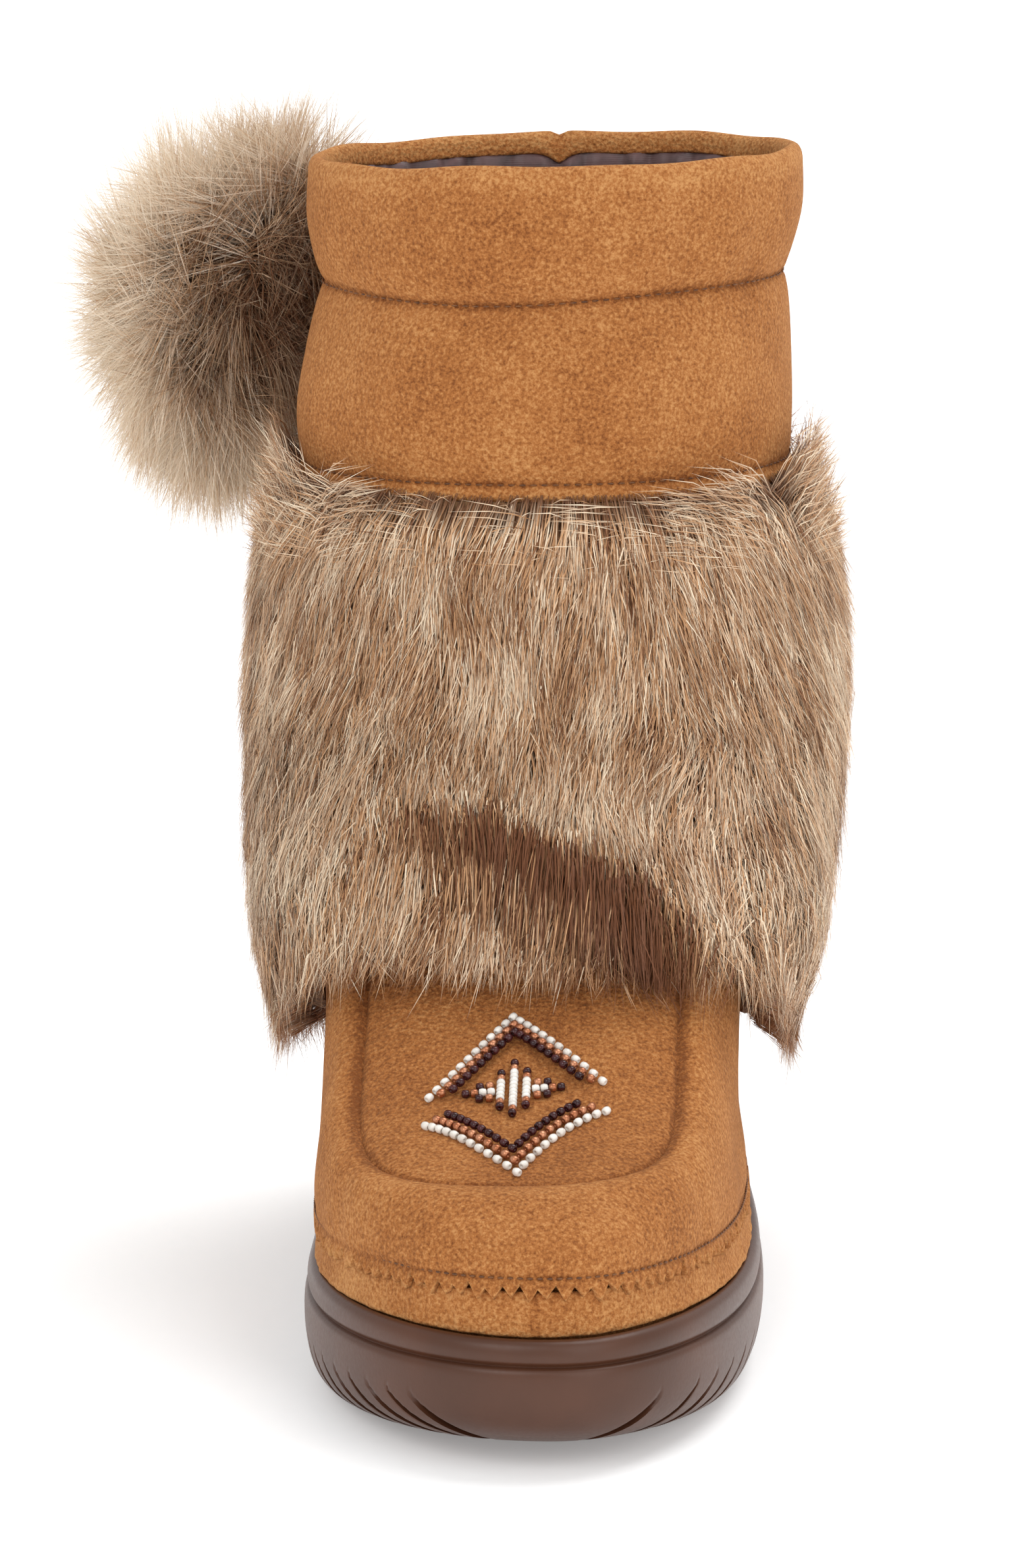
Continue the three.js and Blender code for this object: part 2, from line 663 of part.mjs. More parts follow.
function makeFurCuff() {
  const rings = furProfile.map(({ share }) =>
    eachTurn(furColumns, (column) => furPoint(column, share, furOut(column, share) - 2)),
  );
  const locks = furRows.flatMap((row, r) =>
    Array.from({ length: row.count }, (_, k) =>
      makeFurLock((k + row.shift + 0.12 * vary(k + 31 * r)) / row.count, row, k + 17 * r),
    ),
  );
  const covered = [
    ...[0, ...vampLevels].map((level) => ({ level, out: overlayOut })),
    ...[9, 10, 11.2, hemLevel - 0.02].map((level) => ({ level, out: seatOut(level) + furClear })),
    { level: hemLevel + 0.1, out: furClear - furSeat },
  ];
  const whole = wasm.Manifold.union([stackSolid(rings), ...locks]);
  return filled(whole.subtract(stackSolid(covered.map(wallRing))));
}

// Pompom: a plump core with outward locks fused on, its inner side pressed to the collar.
function makePompom() {
  const size = new THREE.Vector3(pomRadius, pomRadius, 0.4 * pomHeight);
  const core = new THREE.IcosahedronGeometry(1, 1).scale(...size);
  core.translate(...pomMiddle);
  const roots = mergeVertices(bare(new THREE.IcosahedronGeometry(1, 1)), 1e-4).attributes.position;
  const locks = [];
  for (let k = 0; k < roots.count; k++) {
    const direction = new THREE.Vector3().fromBufferAttribute(roots, k).normalize();
    const side = new THREE.Vector3(0.3, 0.2, 1).cross(direction).normalize();
    const up = direction.clone().cross(side);
    const place = (share) => {
      const grown = size.clone().addScalar(pomRadius * (0.36 * share - 0.12));
      const at = direction.clone().multiply(grown).add(pomMiddle);
      return at.setZ(at.z - 0.1 * pomRadius * share);
    };
    locks.push(
      stackSolid(
        [
          { share: 0, thick: 0.345 * pomRadius },
          { share: 1.1 + 0.12 * vary(k), thick: 0.11 * pomRadius },
        ].map(({ share, thick }) =>
          [0, 1, 2].map((c) => {
            const angle = (c / 3) * 2 * Math.PI + k;
            return place(share)
              .addScaledVector(side, thick * Math.cos(angle))
              .addScaledVector(up, thick * Math.sin(angle));
          }),
        ),
      ),
    );
  }
  return filled(wasm.Manifold.union([solidOf(core), ...locks]).subtract(pressedSpace()));
}
function bare(geometry) {
  geometry.deleteAttribute("normal");
  geometry.deleteAttribute("uv");
  return geometry;
}

// The room taken by the collar and by the top of the fur, which the pompom is pressed against.
function pressedSpace() {
  const collar = [0.04, 0.225, 0.41, 0.54, 0.62, 0.7, 0.875, 0.95];
  const rows = [
    { z: mix(furHemSide, furTop, 0.68), out: 1.47 * furDepth },
    { z: mix(furHemSide, furTop, 0.91), out: furDepth },
    { z: furTop, out: 0.735 * furDepth },
    ...collar.map((share) => ({ z: mix(furTop, bootHeight, share), out: gap })),
  ];
  const ringOf = ({ z, out }) => eachTurn(turns, (turn) => formOffset(turn, levelAtHeight(turn, z), out));
  const rings = rows.map(ringOf);
  rings.push(rings.at(-1).map((p) => p.clone().setZ(bootHeight + furDepth)));
  return stackSolid(rings);
}

// Beadwork: seed beads sewn to the apron as two chevrons round a star. Places are in plan, as
// shares of the apron's half width and of the reach of its front seam.
const onPlug = (across, ahead) => ({ x: across * apronHalfWidth, y: -ahead * apronFront });
const beadPlaces = {
  upper: [
    onPlug(-0.637, 0.8336),
    onPlug(-0.384, 0.7749),
    onPlug(-0.135, 0.7262),
    onPlug(0.138, 0.7585),
    onPlug(0.447, 0.8069),
  ],
  lower: [
    onPlug(-0.644, 0.8821),
    onPlug(-0.385, 0.913),
    onPlug(-0.055, 0.9793),
    onPlug(0.176, 0.9012),
    onPlug(0.476, 0.8536),
  ],
  star: onPlug(-0.111, 0.8235),
};
const upperRowPitch = 0.88 * beadSize; // its rows are sewn closer, and ride up on each other
const lowerRowPitch = 1.05 * beadSize;
const beadBase = gap + apronThickness + gap;
const beadPoint = (x, y, out) => {
  const at = overFoot(x, y);
  return formOffset(at.turn, at.level, out);
};
const onApron = (solid) => solid.subtract(apronSlab(beadBase, 0.8));

// A chevron is three rows of beads, each a rounded ridge, its ends cut along the diamond's middle.
// Its path runs from one end by the middle of an arm to the tip, and on to the other end.
function chevron(path, rowPitch) {
  const [start, , tip, , end] = path;
  const rowCount = 3;
  const profile = [];
  for (let r = 0; r < rowCount; r++) {
    profile.push({ in: (r - 0.46) * rowPitch, up: 0.35 }, { in: r * rowPitch, up: 1 });
  }
  profile.push({ in: (rowCount - 0.54) * rowPitch, up: 0.35 });
  const arms = [start, tip].map((from, i) => {
    const to = [tip, end][i];
    return new THREE.Vector2(to.x - from.x, to.y - from.y).normalize();
  });
  const middle = new THREE.Vector2(end.x - start.x, end.y - start.y).normalize();
  const normals = arms.map((arm) => new THREE.Vector2(-arm.y, arm.x));
  if (normals[0].dot(middle) < 0) normals.forEach((normal) => normal.negate());
  const mitre = normals[0].clone().add(normals[1]).normalize();
  mitre.divideScalar(mitre.dot(normals[0]));
  const ends = normals.map((normal) => middle.clone().divideScalar(middle.dot(normal)));
  const across = [ends[0], normals[0], mitre, normals[1], ends[1]];
  const rings = path.map((node, i) => {
    const at = (row, out) => beadPoint(node.x + across[i].x * row.in, node.y + across[i].y * row.in, out);
    const top = profile.map((row) => at(row, beadBase + beadSize * 0.9 * row.up));
    return [...top, at(profile.at(-1), beadBase - 0.5), at(profile[0], beadBase - 0.5)];
  });
  return onApron(stackSolid(rings));
}

// The star: a tall middle column between shorter ones, and a pointed wing on each side, in beads
// from its middle.
const starColumns = [
  { across: 5.1, half: 0.4 },
  { across: 3.8, half: 1.3 },
  { across: 2.2, half: 1.4 },
  { across: 1.95, half: 2.75 },
  { across: 0.8, half: 2.9 },
  { across: 0.65, half: 4.05 },
].map(({ across, half }) => ({ across: across * beadSize, half: half * beadSize }));
const starLean = 0.12; // how far its inner wing stands nearer the heel, as a slope
function makeStar() {
  const mirrored = starColumns.map(({ across, half }) => ({ across: -across, half }));
  const all = [...mirrored, ...[...starColumns].reverse()];
  const rings = all.map(({ across, half }) => {
    const middle = beadPlaces.star.y + across * starLean;
    const at = (share, out) => beadPoint(beadPlaces.star.x + across, middle + share * half, out);
    const high = beadBase + beadSize * 0.85;
    const edge = beadBase + beadSize * 0.4;
    const ridge = [at(-1, edge), at(-0.8, high), at(0.8, high), at(1, edge)];
    return [at(-1, beadBase - 0.5), ...ridge, at(1, beadBase - 0.5)];
  });
  return onApron(stackSolid(rings));
}

const pieces = {
  upper: makeUpper(),
  outsole: makeOutsole(),
  insole: makeInsole(),
  rand: makeRand(),
  apron: makeApron(),
  vamp: makeVamp(),
  fur_cuff: makeFurCuff(),
  pompom: makePompom(),
  bead_chevron_upper: chevron(beadPlaces.upper, upperRowPitch),
  bead_chevron_lower: chevron(beadPlaces.lower, lowerRowPitch),
  bead_star: makeStar(),
};
const looks = {
  suede: { color: 0xb57b3c, roughness: 0.95, metalness: 0 },
  rubber: { color: 0x664a3c, roughness: 0.55, metalness: 0 },
  foam: { color: 0x5b4644, roughness: 0.9, metalness: 0 },
  fur: { color: 0xa98c70, roughness: 0.95, metalness: 0 },
  beads: { color: 0xe6ddd2, roughness: 0.25, metalness: 0.1 },
};
const lookOf = {
  upper: "suede",
  outsole: "rubber",
  insole: "foam",
  rand: "suede",
  apron: "suede",
  vamp: "suede",
  fur_cuff: "fur",
  pompom: "fur",
  bead_chevron_upper: "beads",
  bead_chevron_lower: "beads",
  bead_star: "beads",
};
const boot = new THREE.Group();
for (const [name, solid] of Object.entries(pieces)) {
  const look = lookOf[name];
  const material = new THREE.MeshStandardMaterial({ name: look, ...looks[look] });
  const mesh = new THREE.Mesh(geometryFrom(solid), material);
  mesh.name = name;
  boot.add(mesh);
}
export default boot;
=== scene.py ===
"""A suede mukluk boot for a right foot, dressed for a studio picture."""

import math

import bpy
import numpy as np
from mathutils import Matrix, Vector


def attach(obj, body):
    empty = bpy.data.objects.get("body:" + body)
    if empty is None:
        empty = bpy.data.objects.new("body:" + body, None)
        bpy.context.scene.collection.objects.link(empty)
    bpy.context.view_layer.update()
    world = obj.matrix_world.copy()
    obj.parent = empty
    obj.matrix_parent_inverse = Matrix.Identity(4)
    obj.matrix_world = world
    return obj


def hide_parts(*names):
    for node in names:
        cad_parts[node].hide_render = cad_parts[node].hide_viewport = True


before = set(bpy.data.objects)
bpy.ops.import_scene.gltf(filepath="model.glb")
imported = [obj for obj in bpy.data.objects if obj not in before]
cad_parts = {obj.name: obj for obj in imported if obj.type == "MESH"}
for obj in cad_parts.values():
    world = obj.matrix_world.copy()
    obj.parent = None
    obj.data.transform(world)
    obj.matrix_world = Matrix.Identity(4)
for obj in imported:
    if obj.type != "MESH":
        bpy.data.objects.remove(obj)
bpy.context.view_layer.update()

# ---------------------------------------------------------------------------------------------
# Outsole: one moulding of brown rubber, a cup with a rounded lip, a groove under the lip, and a
# wall that rolls under to the tread. The mould cuts claw-shaped notches round the toe and along
# the sides. The upper is cemented into the cup. Sizes are millimetres from the heel's middle.
TOE, HEEL, OUTER, INNER = 240.0, 38.0, 53.5, 53.0
OUTER_BALL, INNER_BALL = 138.0, 124.0
LIP_BALL, LIP_TOE, LIP_HEEL, LIP_DEPTH = 26.5, 31.0, 34.0, 4.5
TOE_DRIFT, TOE_SQUARE, HEEL_SQUARE = 5.0, 2.15, 2.8
ARCH_PINCH, ARCH_AHEAD, ARCH_LENGTH, ARCH_LIFT = 2.5, 66, 56, 2.0
TOE_SPRING, SPRING_START, HEEL_SPRING, HEEL_TREAD, TOE_TUCK = 6.5, 165, 2.5, 12, 1.3
CLAW_TOP, CLAW_DEPTH, CLAW_LEAN, CLAW_EDGE = 0.44, 2.9, 0.034, 0.0011
sole_columns = (-TOE, HEEL, -OUTER, INNER, -OUTER_BALL, -INNER_BALL)
sole_columns += (TOE_DRIFT, TOE_SQUARE, HEEL_SQUARE)
wall_profile = np.array(
    [
        # out from the plan outline, share of the height
        (-9.5, 0.0),
        (-7.4, 0.012),
        (-5.2, 0.045),
        (-3.4, 0.1),
        (-2.0, 0.17),
        (-1.0, 0.26),
        (-0.4, 0.37),
        (-0.08, 0.48),
        (0.0, 0.58),
        (-0.05, 0.66),
        (-0.3, 0.72),
        (-0.9, 0.752),
        (-1.9, 0.768),
        (-1.5, 0.79),
        (-0.95, 0.815),
        (-0.75, 0.86),
        (-0.95, 0.915),
        (-1.5, 0.965),
        (-2.5, 0.995),
        (-3.5, 1.0),
        (-4.1, 0.985),
        (-4.5, 0.93),
        (-4.8, 0.84),
    ]
)


def mix(a, b, t):
    return a + (b - a) * t


def ease(a, b, v):
    t = np.clip((np.asarray(v, float) - a) / (b - a), 0, 1)
    return t * t * (3 - 2 * t)


def hump(v, middle, width):
    return np.exp(-(((v - middle) / width) ** 2))


def unit(ways):
    """Those vectors at a length of one."""
    return ways / np.linalg.norm(ways, axis=-1, keepdims=True)


def smooth_rows(rows, at):
    """The table's columns between its rows, on a smooth curve through them."""
    top = len(rows) - 1
    at = np.clip(at, 0, top - 1e-9)
    i = np.floor(at).astype(int)
    t = (at - i)[:, None]
    a, b, c, d = (rows[np.clip(i + k, 0, top)] for k in (-1, 0, 1, 2))
    curve = (2 * a - 5 * b + 4 * c - d) * t**2 + (3 * b - a - 3 * c + d) * t**3
    return 0.5 * (2 * b + (c - a) * t + curve)


def plan(columns, turn):
    """A place on a plan outline. turn 0 is the heel's back, 0.25 the outer side, 0.5 the toe."""
    front, back, outer, inner, outer_widest, inner_widest, tip, toe_square, heel_square = columns
    whole = np.mod(turn, 1) * 4
    quarter = np.floor(whole)
    along = whole - quarter
    angle = np.where(quarter % 2 == 1, 1 - along, along) * math.pi / 2
    ahead = (quarter == 1) | (quarter == 2)
    power = np.where(ahead, toe_square, heel_square)
    s, c = np.clip(np.sin(angle), 0, 1), np.clip(np.cos(angle), 0, 1)
    reach = (c**power + s**power) ** (-1 / power)
    end_x = np.where(ahead, tip, 0)
    side_x = np.where(quarter < 2, outer, inner)
    side_y = np.where(quarter < 2, outer_widest, inner_widest)
    end_y = np.where(ahead, front, back)
    return end_x + (side_x - end_x) * reach * s, side_y + (end_y - side_y) * reach * c


def lip_height(y):
    rise = (LIP_TOE - LIP_BALL) * ease(OUTER_BALL, TOE, -y)
    return LIP_BALL + rise + (LIP_HEEL - LIP_BALL) * (1 - ease(0, OUTER_BALL, -y))


def arch_pull(y):
    return ARCH_PINCH * hump(y, -ARCH_AHEAD, 0.6 * ARCH_LENGTH)


def tread_height(y):
    spring = TOE_SPRING * np.clip((-y - SPRING_START) / (TOE - SPRING_START), 0, 1) ** 2
    heel = HEEL_SPRING * np.clip((y - HEEL_TREAD) / (HEEL - HEEL_TREAD), 0, 1) ** 2
    from_arch = (y + ARCH_AHEAD) / (ARCH_LENGTH / 2)
    return spring + heel + ARCH_LIFT * np.clip(1 - from_arch**2, 0, 1) ** 2


def sole_place(turn, out, up):
    x, y = plan(sole_columns, turn)
    ahead, behind = plan(sole_columns, turn + 1e-3), plan(sole_columns, turn - 1e-3)
    along = unit(np.stack([ahead[0] - behind[0], ahead[1] - behind[1]], -1))
    x = np.where(x > 0, x - arch_pull(y), x)
    tuck = TOE_TUCK * ease(SPRING_START, TOE, -y) * np.clip(1 - up / 0.6, 0, 1)
    out = np.where(out < 0, out * (1 + tuck), out)
    x, y = x + along[:, 1] * out, y - along[:, 0] * out
    return np.stack([x, y, mix(tread_height(y), lip_height(y), up)], -1)


# Turns where the claws start, from the toe back: the outer side's, then the inner side's.
claws = [0.4165 - 0.0165 * k for k in range(20)]
claws += [0.5863] + [0.619 + 0.0195 * k for k in range(16)]


def claw_turn(column, up):
    """Turn of a place in the sole. Its columns lean forwards as they go down, as the claws do."""
    lean = CLAW_LEAN * np.clip(1 - up / CLAW_TOP, 0, 1) ** 1.3
    forwards = np.clip((0.5 - column) / 0.07, -1, 1)
    at_heel = np.clip(np.minimum(column, 1 - column) / 0.05, 0, 1)
    return column + lean * forwards * at_heel


def claw_depth(column, up):
    """How deep the claws cut. Each starts as a point half way up the wall and is wider lower
    down. Its heel side is a crisp edge, and its toe side fades out."""
    depth = np.zeros(len(column))
    low = np.clip(1 - up / CLAW_TOP, 0, 1)
    for claw in claws:
        ahead = (column - claw) * (1 if claw < 0.5 else -1)
        wide = (0.0125 if abs(claw - 0.5) < 0.09 else 0.0078) * low**0.7 + 1e-5
        crisp, faded = np.clip(1 + ahead / CLAW_EDGE, 0, 1), np.clip(1 - ahead / wide, 0, 1)
        inside = np.where(ahead < -1e-6, crisp, faded)
        depth = np.maximum(depth, inside**1.3 * CLAW_DEPTH * low**0.5)
    return depth


def edit_all(edit, **settings):
    """One edit of the active piece, with all of it selected."""
    bpy.ops.object.mode_set(mode="EDIT")
    bpy.ops.mesh.select_all(action="SELECT")
    edit(**settings)
    bpy.ops.object.mode_set(mode="OBJECT")


def grid_piece(name, across, along, place, closed=True):
    """A flat grid, as a piece is cut from a hide, shaped by place(u, v). place gives positions,
    and may give a tint for each one, from 0 for darkest to 1 for palest, where 0.5 is neither.
    The tint holds painted shade in stitched grooves and painted light on ridges, as well as
    darker seams and paler edges."""
    bpy.ops.object.select_all(action="DESELECT")
    bpy.ops.mesh.primitive_grid_add(x_subdivisions=across, y_subdivisions=along, size=1)
    piece = bpy.context.object
    piece.name = piece.data.name = name
    flat = np.empty(len(piece.data.vertices) * 3)
    piece.data.vertices.foreach_get("co", flat)
    flat = flat.reshape(-1, 3) + 0.5
    made = place(flat[:, 0], flat[:, 1])
    places, tint = made if isinstance(made, tuple) else (made, np.full(len(flat), 0.5))
    piece.data.vertices.foreach_set("co", (places * 0.001).ravel())
    layer = piece.data.color_attributes.new("tint", "FLOAT_COLOR", "POINT")
    layer.data.foreach_set("color", np.repeat(np.clip(tint, 0, 1), 4).astype(np.float32))
    if closed:
        edit_all(bpy.ops.mesh.remove_doubles, threshold=2e-6)
    bpy.ops.object.shade_smooth()
    return piece


def colour(code):
    """An sRGB hex value as linear light."""
    parts = [int(code[i : i + 2], 16) / 255 for i in (1, 3, 5)]
    return tuple(c / 12.92 if c < 0.04045 else ((c + 0.055) / 1.055) ** 2.4 for c in parts) + (1.0,)


def feed(tree, node, inputs):
    """Sets a node's inputs, each to a value or to the output that feeds it."""
    for key, value in inputs.items():
        if isinstance(value, bpy.types.NodeSocket):
            tree.links.new(value, node.inputs[key])
        else:
            node.inputs[key].default_value = value


def add(tree, kind, inputs=(), **settings):
    """One node with its settings and its inputs."""
    node = tree.nodes.new(kind)
    for key, value in settings.items():
        setattr(node, key, value)
    feed(tree, node, dict(inputs))
    return node


def new_material(name, roughness):
    """A material's nodes, its shader, and the piece's own coordinates."""
    made = bpy.data.materials.new(name)
    made.use_nodes = True
    tree = made.node_tree
    shader = tree.nodes["Principled BSDF"]
    shader.inputs["Roughness"].default_value = roughness
    return made, tree, shader, add(tree, "ShaderNodeTexCoord").outputs["Object"]


def finish(piece, material, node=None):
    """Gives a piece its material and its body, and hides the CAD node that it stands for."""
    piece.data.materials.append(material)
    if node:
        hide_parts(node)
    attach(piece, "root")


def ramp(tree, feed, stops):
    """A colour ramp between hex values."""
    node = add(tree, "ShaderNodeValToRGB", {"Fac": feed})
    while len(node.color_ramp.elements) < len(stops):
        node.color_ramp.elements.new(0.5)
    for element, (place, code) in zip(node.color_ramp.elements, stops):
        element.position = place
        element.color = colour(code)
    return node.outputs["Color"]


def outsole_shape(u, v):
    rows = smooth_rows(wall_profile, v * (len(wall_profile) - 1))
    out, up = rows[:, 0], rows[:, 1]
    return sole_place(claw_turn(u, up), out - claw_depth(u, np.clip(up, 0, 1)), up)


outsole = grid_piece("outsole_rubber", 1000, 48, outsole_shape)
bpy.ops.object.mode_set(mode="EDIT")
bpy.ops.mesh.select_mode(type="EDGE")
bpy.ops.mesh.select_all(action="DESELECT")
bpy.ops.mesh.select_non_manifold(extend=False)
bpy.ops.mesh.edge_face_add()
edit_all(bpy.ops.mesh.normals_make_consistent, inside=False)
bpy.ops.object.shade_smooth_by_angle(angle=math.radians(50))

# Compression-moulded thermoplastic rubber: satin, with broad soft highlights left by the mould's
# polish, faint flow mottling and specks of dust.
rubber, tree, shader, at = new_material("moulded_rubber", 0.4)
cloud = add(tree, "ShaderNodeTexNoise", {"Vector": at, "Scale": 38, "Detail": 4}).outputs["Fac"]
base = ramp(tree, cloud, [(0.3, "#472A1B"), (0.7, "#553322")])
grain = add(tree, "ShaderNodeTexNoise", {"Vector": at, "Scale": 1100, "Detail": 3}).outputs["Fac"]
dust = add(tree, "ShaderNodeMapRange", {"Value": grain, "To Min": 0.3, "To Max": 0.48})
bump = add(tree, "ShaderNodeBump", {"Height": grain, "Strength": 0.1, "Distance": 0.0003})
feed(tree, shader, {"Base Color": base, "Roughness": dust.outputs["Result"]})
feed(tree, shader, {"Normal": bump.outputs["Normal"], "IOR": 1.52, "Specular IOR Level": 0.36})
finish(outsole, rubber, "outsole")

# ---------------------------------------------------------------------------------------------
# Upper: a foot and a shaft of tan suede, lasted over a form. Only the collar shows: it ends in a
# folded hem over the fur, has a stitched channel that draws it in, and rolls over at the rim.
# It is closed by a butted seam down the back, which dips at the rim.
ANKLE, TOP, RIM, SHAFT_BACK, COLLAR_W, COLLAR_D = 110.0, 272.0, 267.95, 31.0, 120.0, 118.0
HEM, CHANNEL, WALL, COLLAR_WALL, SEAT, COLLAR_GIRTH = 193.0, 241.5, 3.0, 4.6, 2.0, 376
foot_sections = [
    # up, ahead, behind, outer, inner, widest, tip, toe, heel
    (0.204, 0.962, 0.83, 0.89, 0.89, 1.0, 0.017, 2.1, 2.8),
    (0.3, 0.967, 0.87, 0.9, 0.88, 1.0, 0.017, 2.1, 2.8),
    (0.39, 0.957, 0.89, 0.9, 0.86, 0.99, 0.016, 2.2, 2.8),
    (0.445, 0.932, 0.89, 0.893, 0.845, 0.97, 0.012, 2.45, 2.8),
    (0.485, 0.885, 0.885, 0.885, 0.835, 0.93, 0.004, 2.9, 2.8),
    (0.535, 0.813, 0.87, 0.88, 0.83, 0.86, -0.004, 3.5, 2.8),
    (0.61, 0.733, 0.85, 0.878, 0.83, 0.78, -0.008, 4.0, 2.7),
    (0.715, 0.655, 0.82, 0.884, 0.84, 0.69, -0.008, 4.0, 2.6),
    (0.845, 0.576, 0.78, 0.92, 0.89, 0.58, -0.008, 3.4, 2.5),
    (1.0, 0.49, 0.75, 0.99, 0.965, 0.45, -0.006, 2.7, 2.4),
]
shaft_sections = [
    # up, ahead, behind, outer, inner, square
    (0.14, 1.2, 1.0, 0.958, 0.93, 2.3),
    (0.31, 1.09, 1.0, 0.985, 0.95, 2.15),
    (0.49, 1.035, 1.005, 1.01, 0.965, 2.1),
    (0.605, 1.05, 1.025, 1.035, 0.98, 2.1),
    (0.71, 1.025, 1.01, 1.0, 0.972, 2.1),
    (0.778, 0.985, 0.975, 0.963, 0.96, 2.1),
    (0.812, 0.96, 0.955, 0.945, 0.952, 2.1),
    (0.846, 0.985, 0.975, 0.968, 0.975, 2.1),
    (0.91, 1.01, 1.0, 0.997, 1.015, 2.1),
    (0.975, 1.0, 1.0, 0.99, 1.015, 2.1),
]
last_rows = []
for up, ahead, behind, outer, inner, widest, tip, toe, heel in foot_sections:
    ends = (up * ANKLE, -ahead * TOE, behind * HEEL, -outer * OUTER, inner * INNER)
    last_rows.append((*ends, -widest * OUTER_BALL, -widest * INNER_BALL, tip * TOE, toe, heel))
for up, ahead, behind, outer, inner, square in shaft_sections:
    front, back = -SHAFT_BACK - ahead * COLLAR_D / 2, -SHAFT_BACK + behind * COLLAR_D / 2
    sides = (-outer * COLLAR_W / 2, inner * COLLAR_W / 2, -SHAFT_BACK, -SHAFT_BACK)
    last_rows.append((mix(ANKLE, TOP, up), front, back, *sides, 0, square, square))
last_rows = np.array(last_rows)
TOP_LEVEL = len(last_rows) - 1.0


def last(turn, level):
    """The form that the leather is pulled over. level counts its sections up from the sole."""
    turn, level = np.broadcast_arrays(np.asarray(turn, float), np.asarray(level, float))
    columns = smooth_rows(last_rows, level.ravel()).T
    x, y = plan(columns[1:], turn.ravel())
    z = columns[0]
    x = np.where(x > 0, x - arch_pull(y) * (1 - ease(0.3 * ANKLE, 0.8 * ANKLE, z)), x)
    z = z + (lip_height(y) - LIP_BALL) * (1 - ease(0.4 * ANKLE, ANKLE, z))
    return np.stack([x, y, z], -1)


def last_normal(turn, level):
    turn, level = np.broadcast_arrays(np.asarray(turn, float), np.asarray(level, float))
    low, high = np.maximum(level - 0.05, 0), np.minimum(level + 0.05, TOP_LEVEL)
    around = last(turn + 2e-3, level) - last(turn - 2e-3, level)
    return unit(np.cross(around, last(turn, high) - last(turn, low)))


def skin(turn, level, out):
    """A place that far outside the last."""
    return last(turn, level) + last_normal(turn, level) * np.reshape(out, (-1, 1))


def level_at(turn, z):
    """The level where the last reaches that height."""
    turn, z = (a.ravel() for a in np.broadcast_arrays(np.asarray(turn, float), np.asarray(z, float)))
    low, high = np.zeros(turn.size), np.full(turn.size, TOP_LEVEL)
    for _ in range(24):
        middle = (low + high) / 2
        below = last(turn, middle)[:, 2] < z
        low, high = np.where(below, middle, low), np.where(below, high, middle)
    return (low + high) / 2


def slant(places):
    """The collar stands a little lower on its outer side, and its channel sags in front."""
    x, y, z = places.T
    sag = 2.3 * hump(x, -12, 34) * hump(z, 240, 15) * ease(-45, -80, y)
    places[:, 2] += 0.024 * x * ease(150, 245, z) - sag
    return places


def waves(v, counts, seed):
    """Uneven ripples round the boot, that many in a turn."""
    pick = np.random.default_rng(seed)
    total = sum(np.sin(2 * math.pi * n * v + pick.uniform(0, 6.3)) for n in counts)
    return total / len(counts) ** 0.5


def from_back_seam(turn):
    """Distance round the collar from the back seam, in millimetres."""
    return (np.mod(turn + 0.5, 1) - 0.5) * COLLAR_GIRTH


# Dents and swellings of the collar: turn, height, their reach in each, and depth.
collar_dents = [
    (0.60, 254, 0.02, 12, -0.7),
    (0.655, 252, 0.016, 14, -0.6),
    (0.56, 226, 0.05, 12, 0.7),
    (0.44, 220, 0.05, 13, 0.8),
    (0.37, 256, 0.04, 7, -0.8),
    (0.33, 236, 0.03, 9, -0.8),
    (0.30, 214, 0.05, 15, 1.0),
    (0.70, 216, 0.04, 16, -0.7),
    (0.48, 256, 0.06, 9, 0.6),
    (0.13, 225, 0.05, 20, -0.8),
    (0.88, 230, 0.05, 18, 0.8),
]
# Rows of the collar stand closer together at the channel and the rim.
height_runs = [(196.4, 236, 30), (236.8, 246.4, 17), (247.6, RIM, 17)]
collar_heights = np.concatenate([np.linspace(*run) for run in height_runs])


def collar_relief(turn, z):
    relief = 0.24 * waves(turn, (3, 5, 8, 13), 4) * hump(z, 222, 40)
    for t, h, wide, tall, deep in collar_dents:
        relief += deep * hump(turn, t, wide) * hump(z, h, tall)
    ripples = waves(turn, (47, 61, 79, 96), 5)
    from_channel = z - CHANNEL
    relief += -0.8 * hump(from_channel, 0, 1.0) - 0.5 * hump(from_channel, 0, 5)
    relief += 0.22 * ripples * np.exp(-np.abs(from_channel) / 4.5)
    relief += -0.45 * hump(z, 197.6, 0.9) + 0.16 * ripples * hump(z, 196.5, 3)
    from_seam = from_back_seam(turn)
    relief += -0.9 * hump(from_seam, 0, 0.9) + 0.35 * hump(np.abs(from_seam), 2.6, 1.4)
    return relief


collar_profile = [(level, 0.0, 0.0, 0) for level in np.linspace(0, 8.3, 16)]
collar_profile += [(level, -SEAT * ease(8.3, 9.3, level), 0.0, 0) for level in (8.6, 8.9, 9.3)]
hem_level = level_at(0, HEM)[0]
collar_profile += [(level, -SEAT, 0.0, 0) for level in np.linspace(9.8, hem_level, 9)]
hem_fold = [(1.6, -1.9), (0.7, -1.3), (0.1, -0.5), (0.1, 0.25), (0.6, 0.7), (1.5, 0.85), (2.5, 0.8)]
collar_profile += [(level_at(0, HEM + rise)[0], out, 0.0, 1) for rise, out in hem_fold]
collar_profile += [(level_at(0, z)[0], 0.35 * hump(z, 195, 2.4), 0.0, 1) for z in collar_heights]
for share in np.linspace(0.06, 0.94, 13):
    angle = share * math.pi
    rim_out = -COLLAR_WALL * (1 - math.cos(angle)) / 2
    collar_profile.append((TOP_LEVEL, rim_out, (TOP - RIM) * math.sin(angle), 1))
for down, out in ((0, -4.6), (0.5, -4.72), (1.0, -4.7), (1.35, -4.3), (1.3, -3.6)):
    collar_profile.append((TOP_LEVEL, out, -down, 0))
collar_profile = np.array(collar_profile)


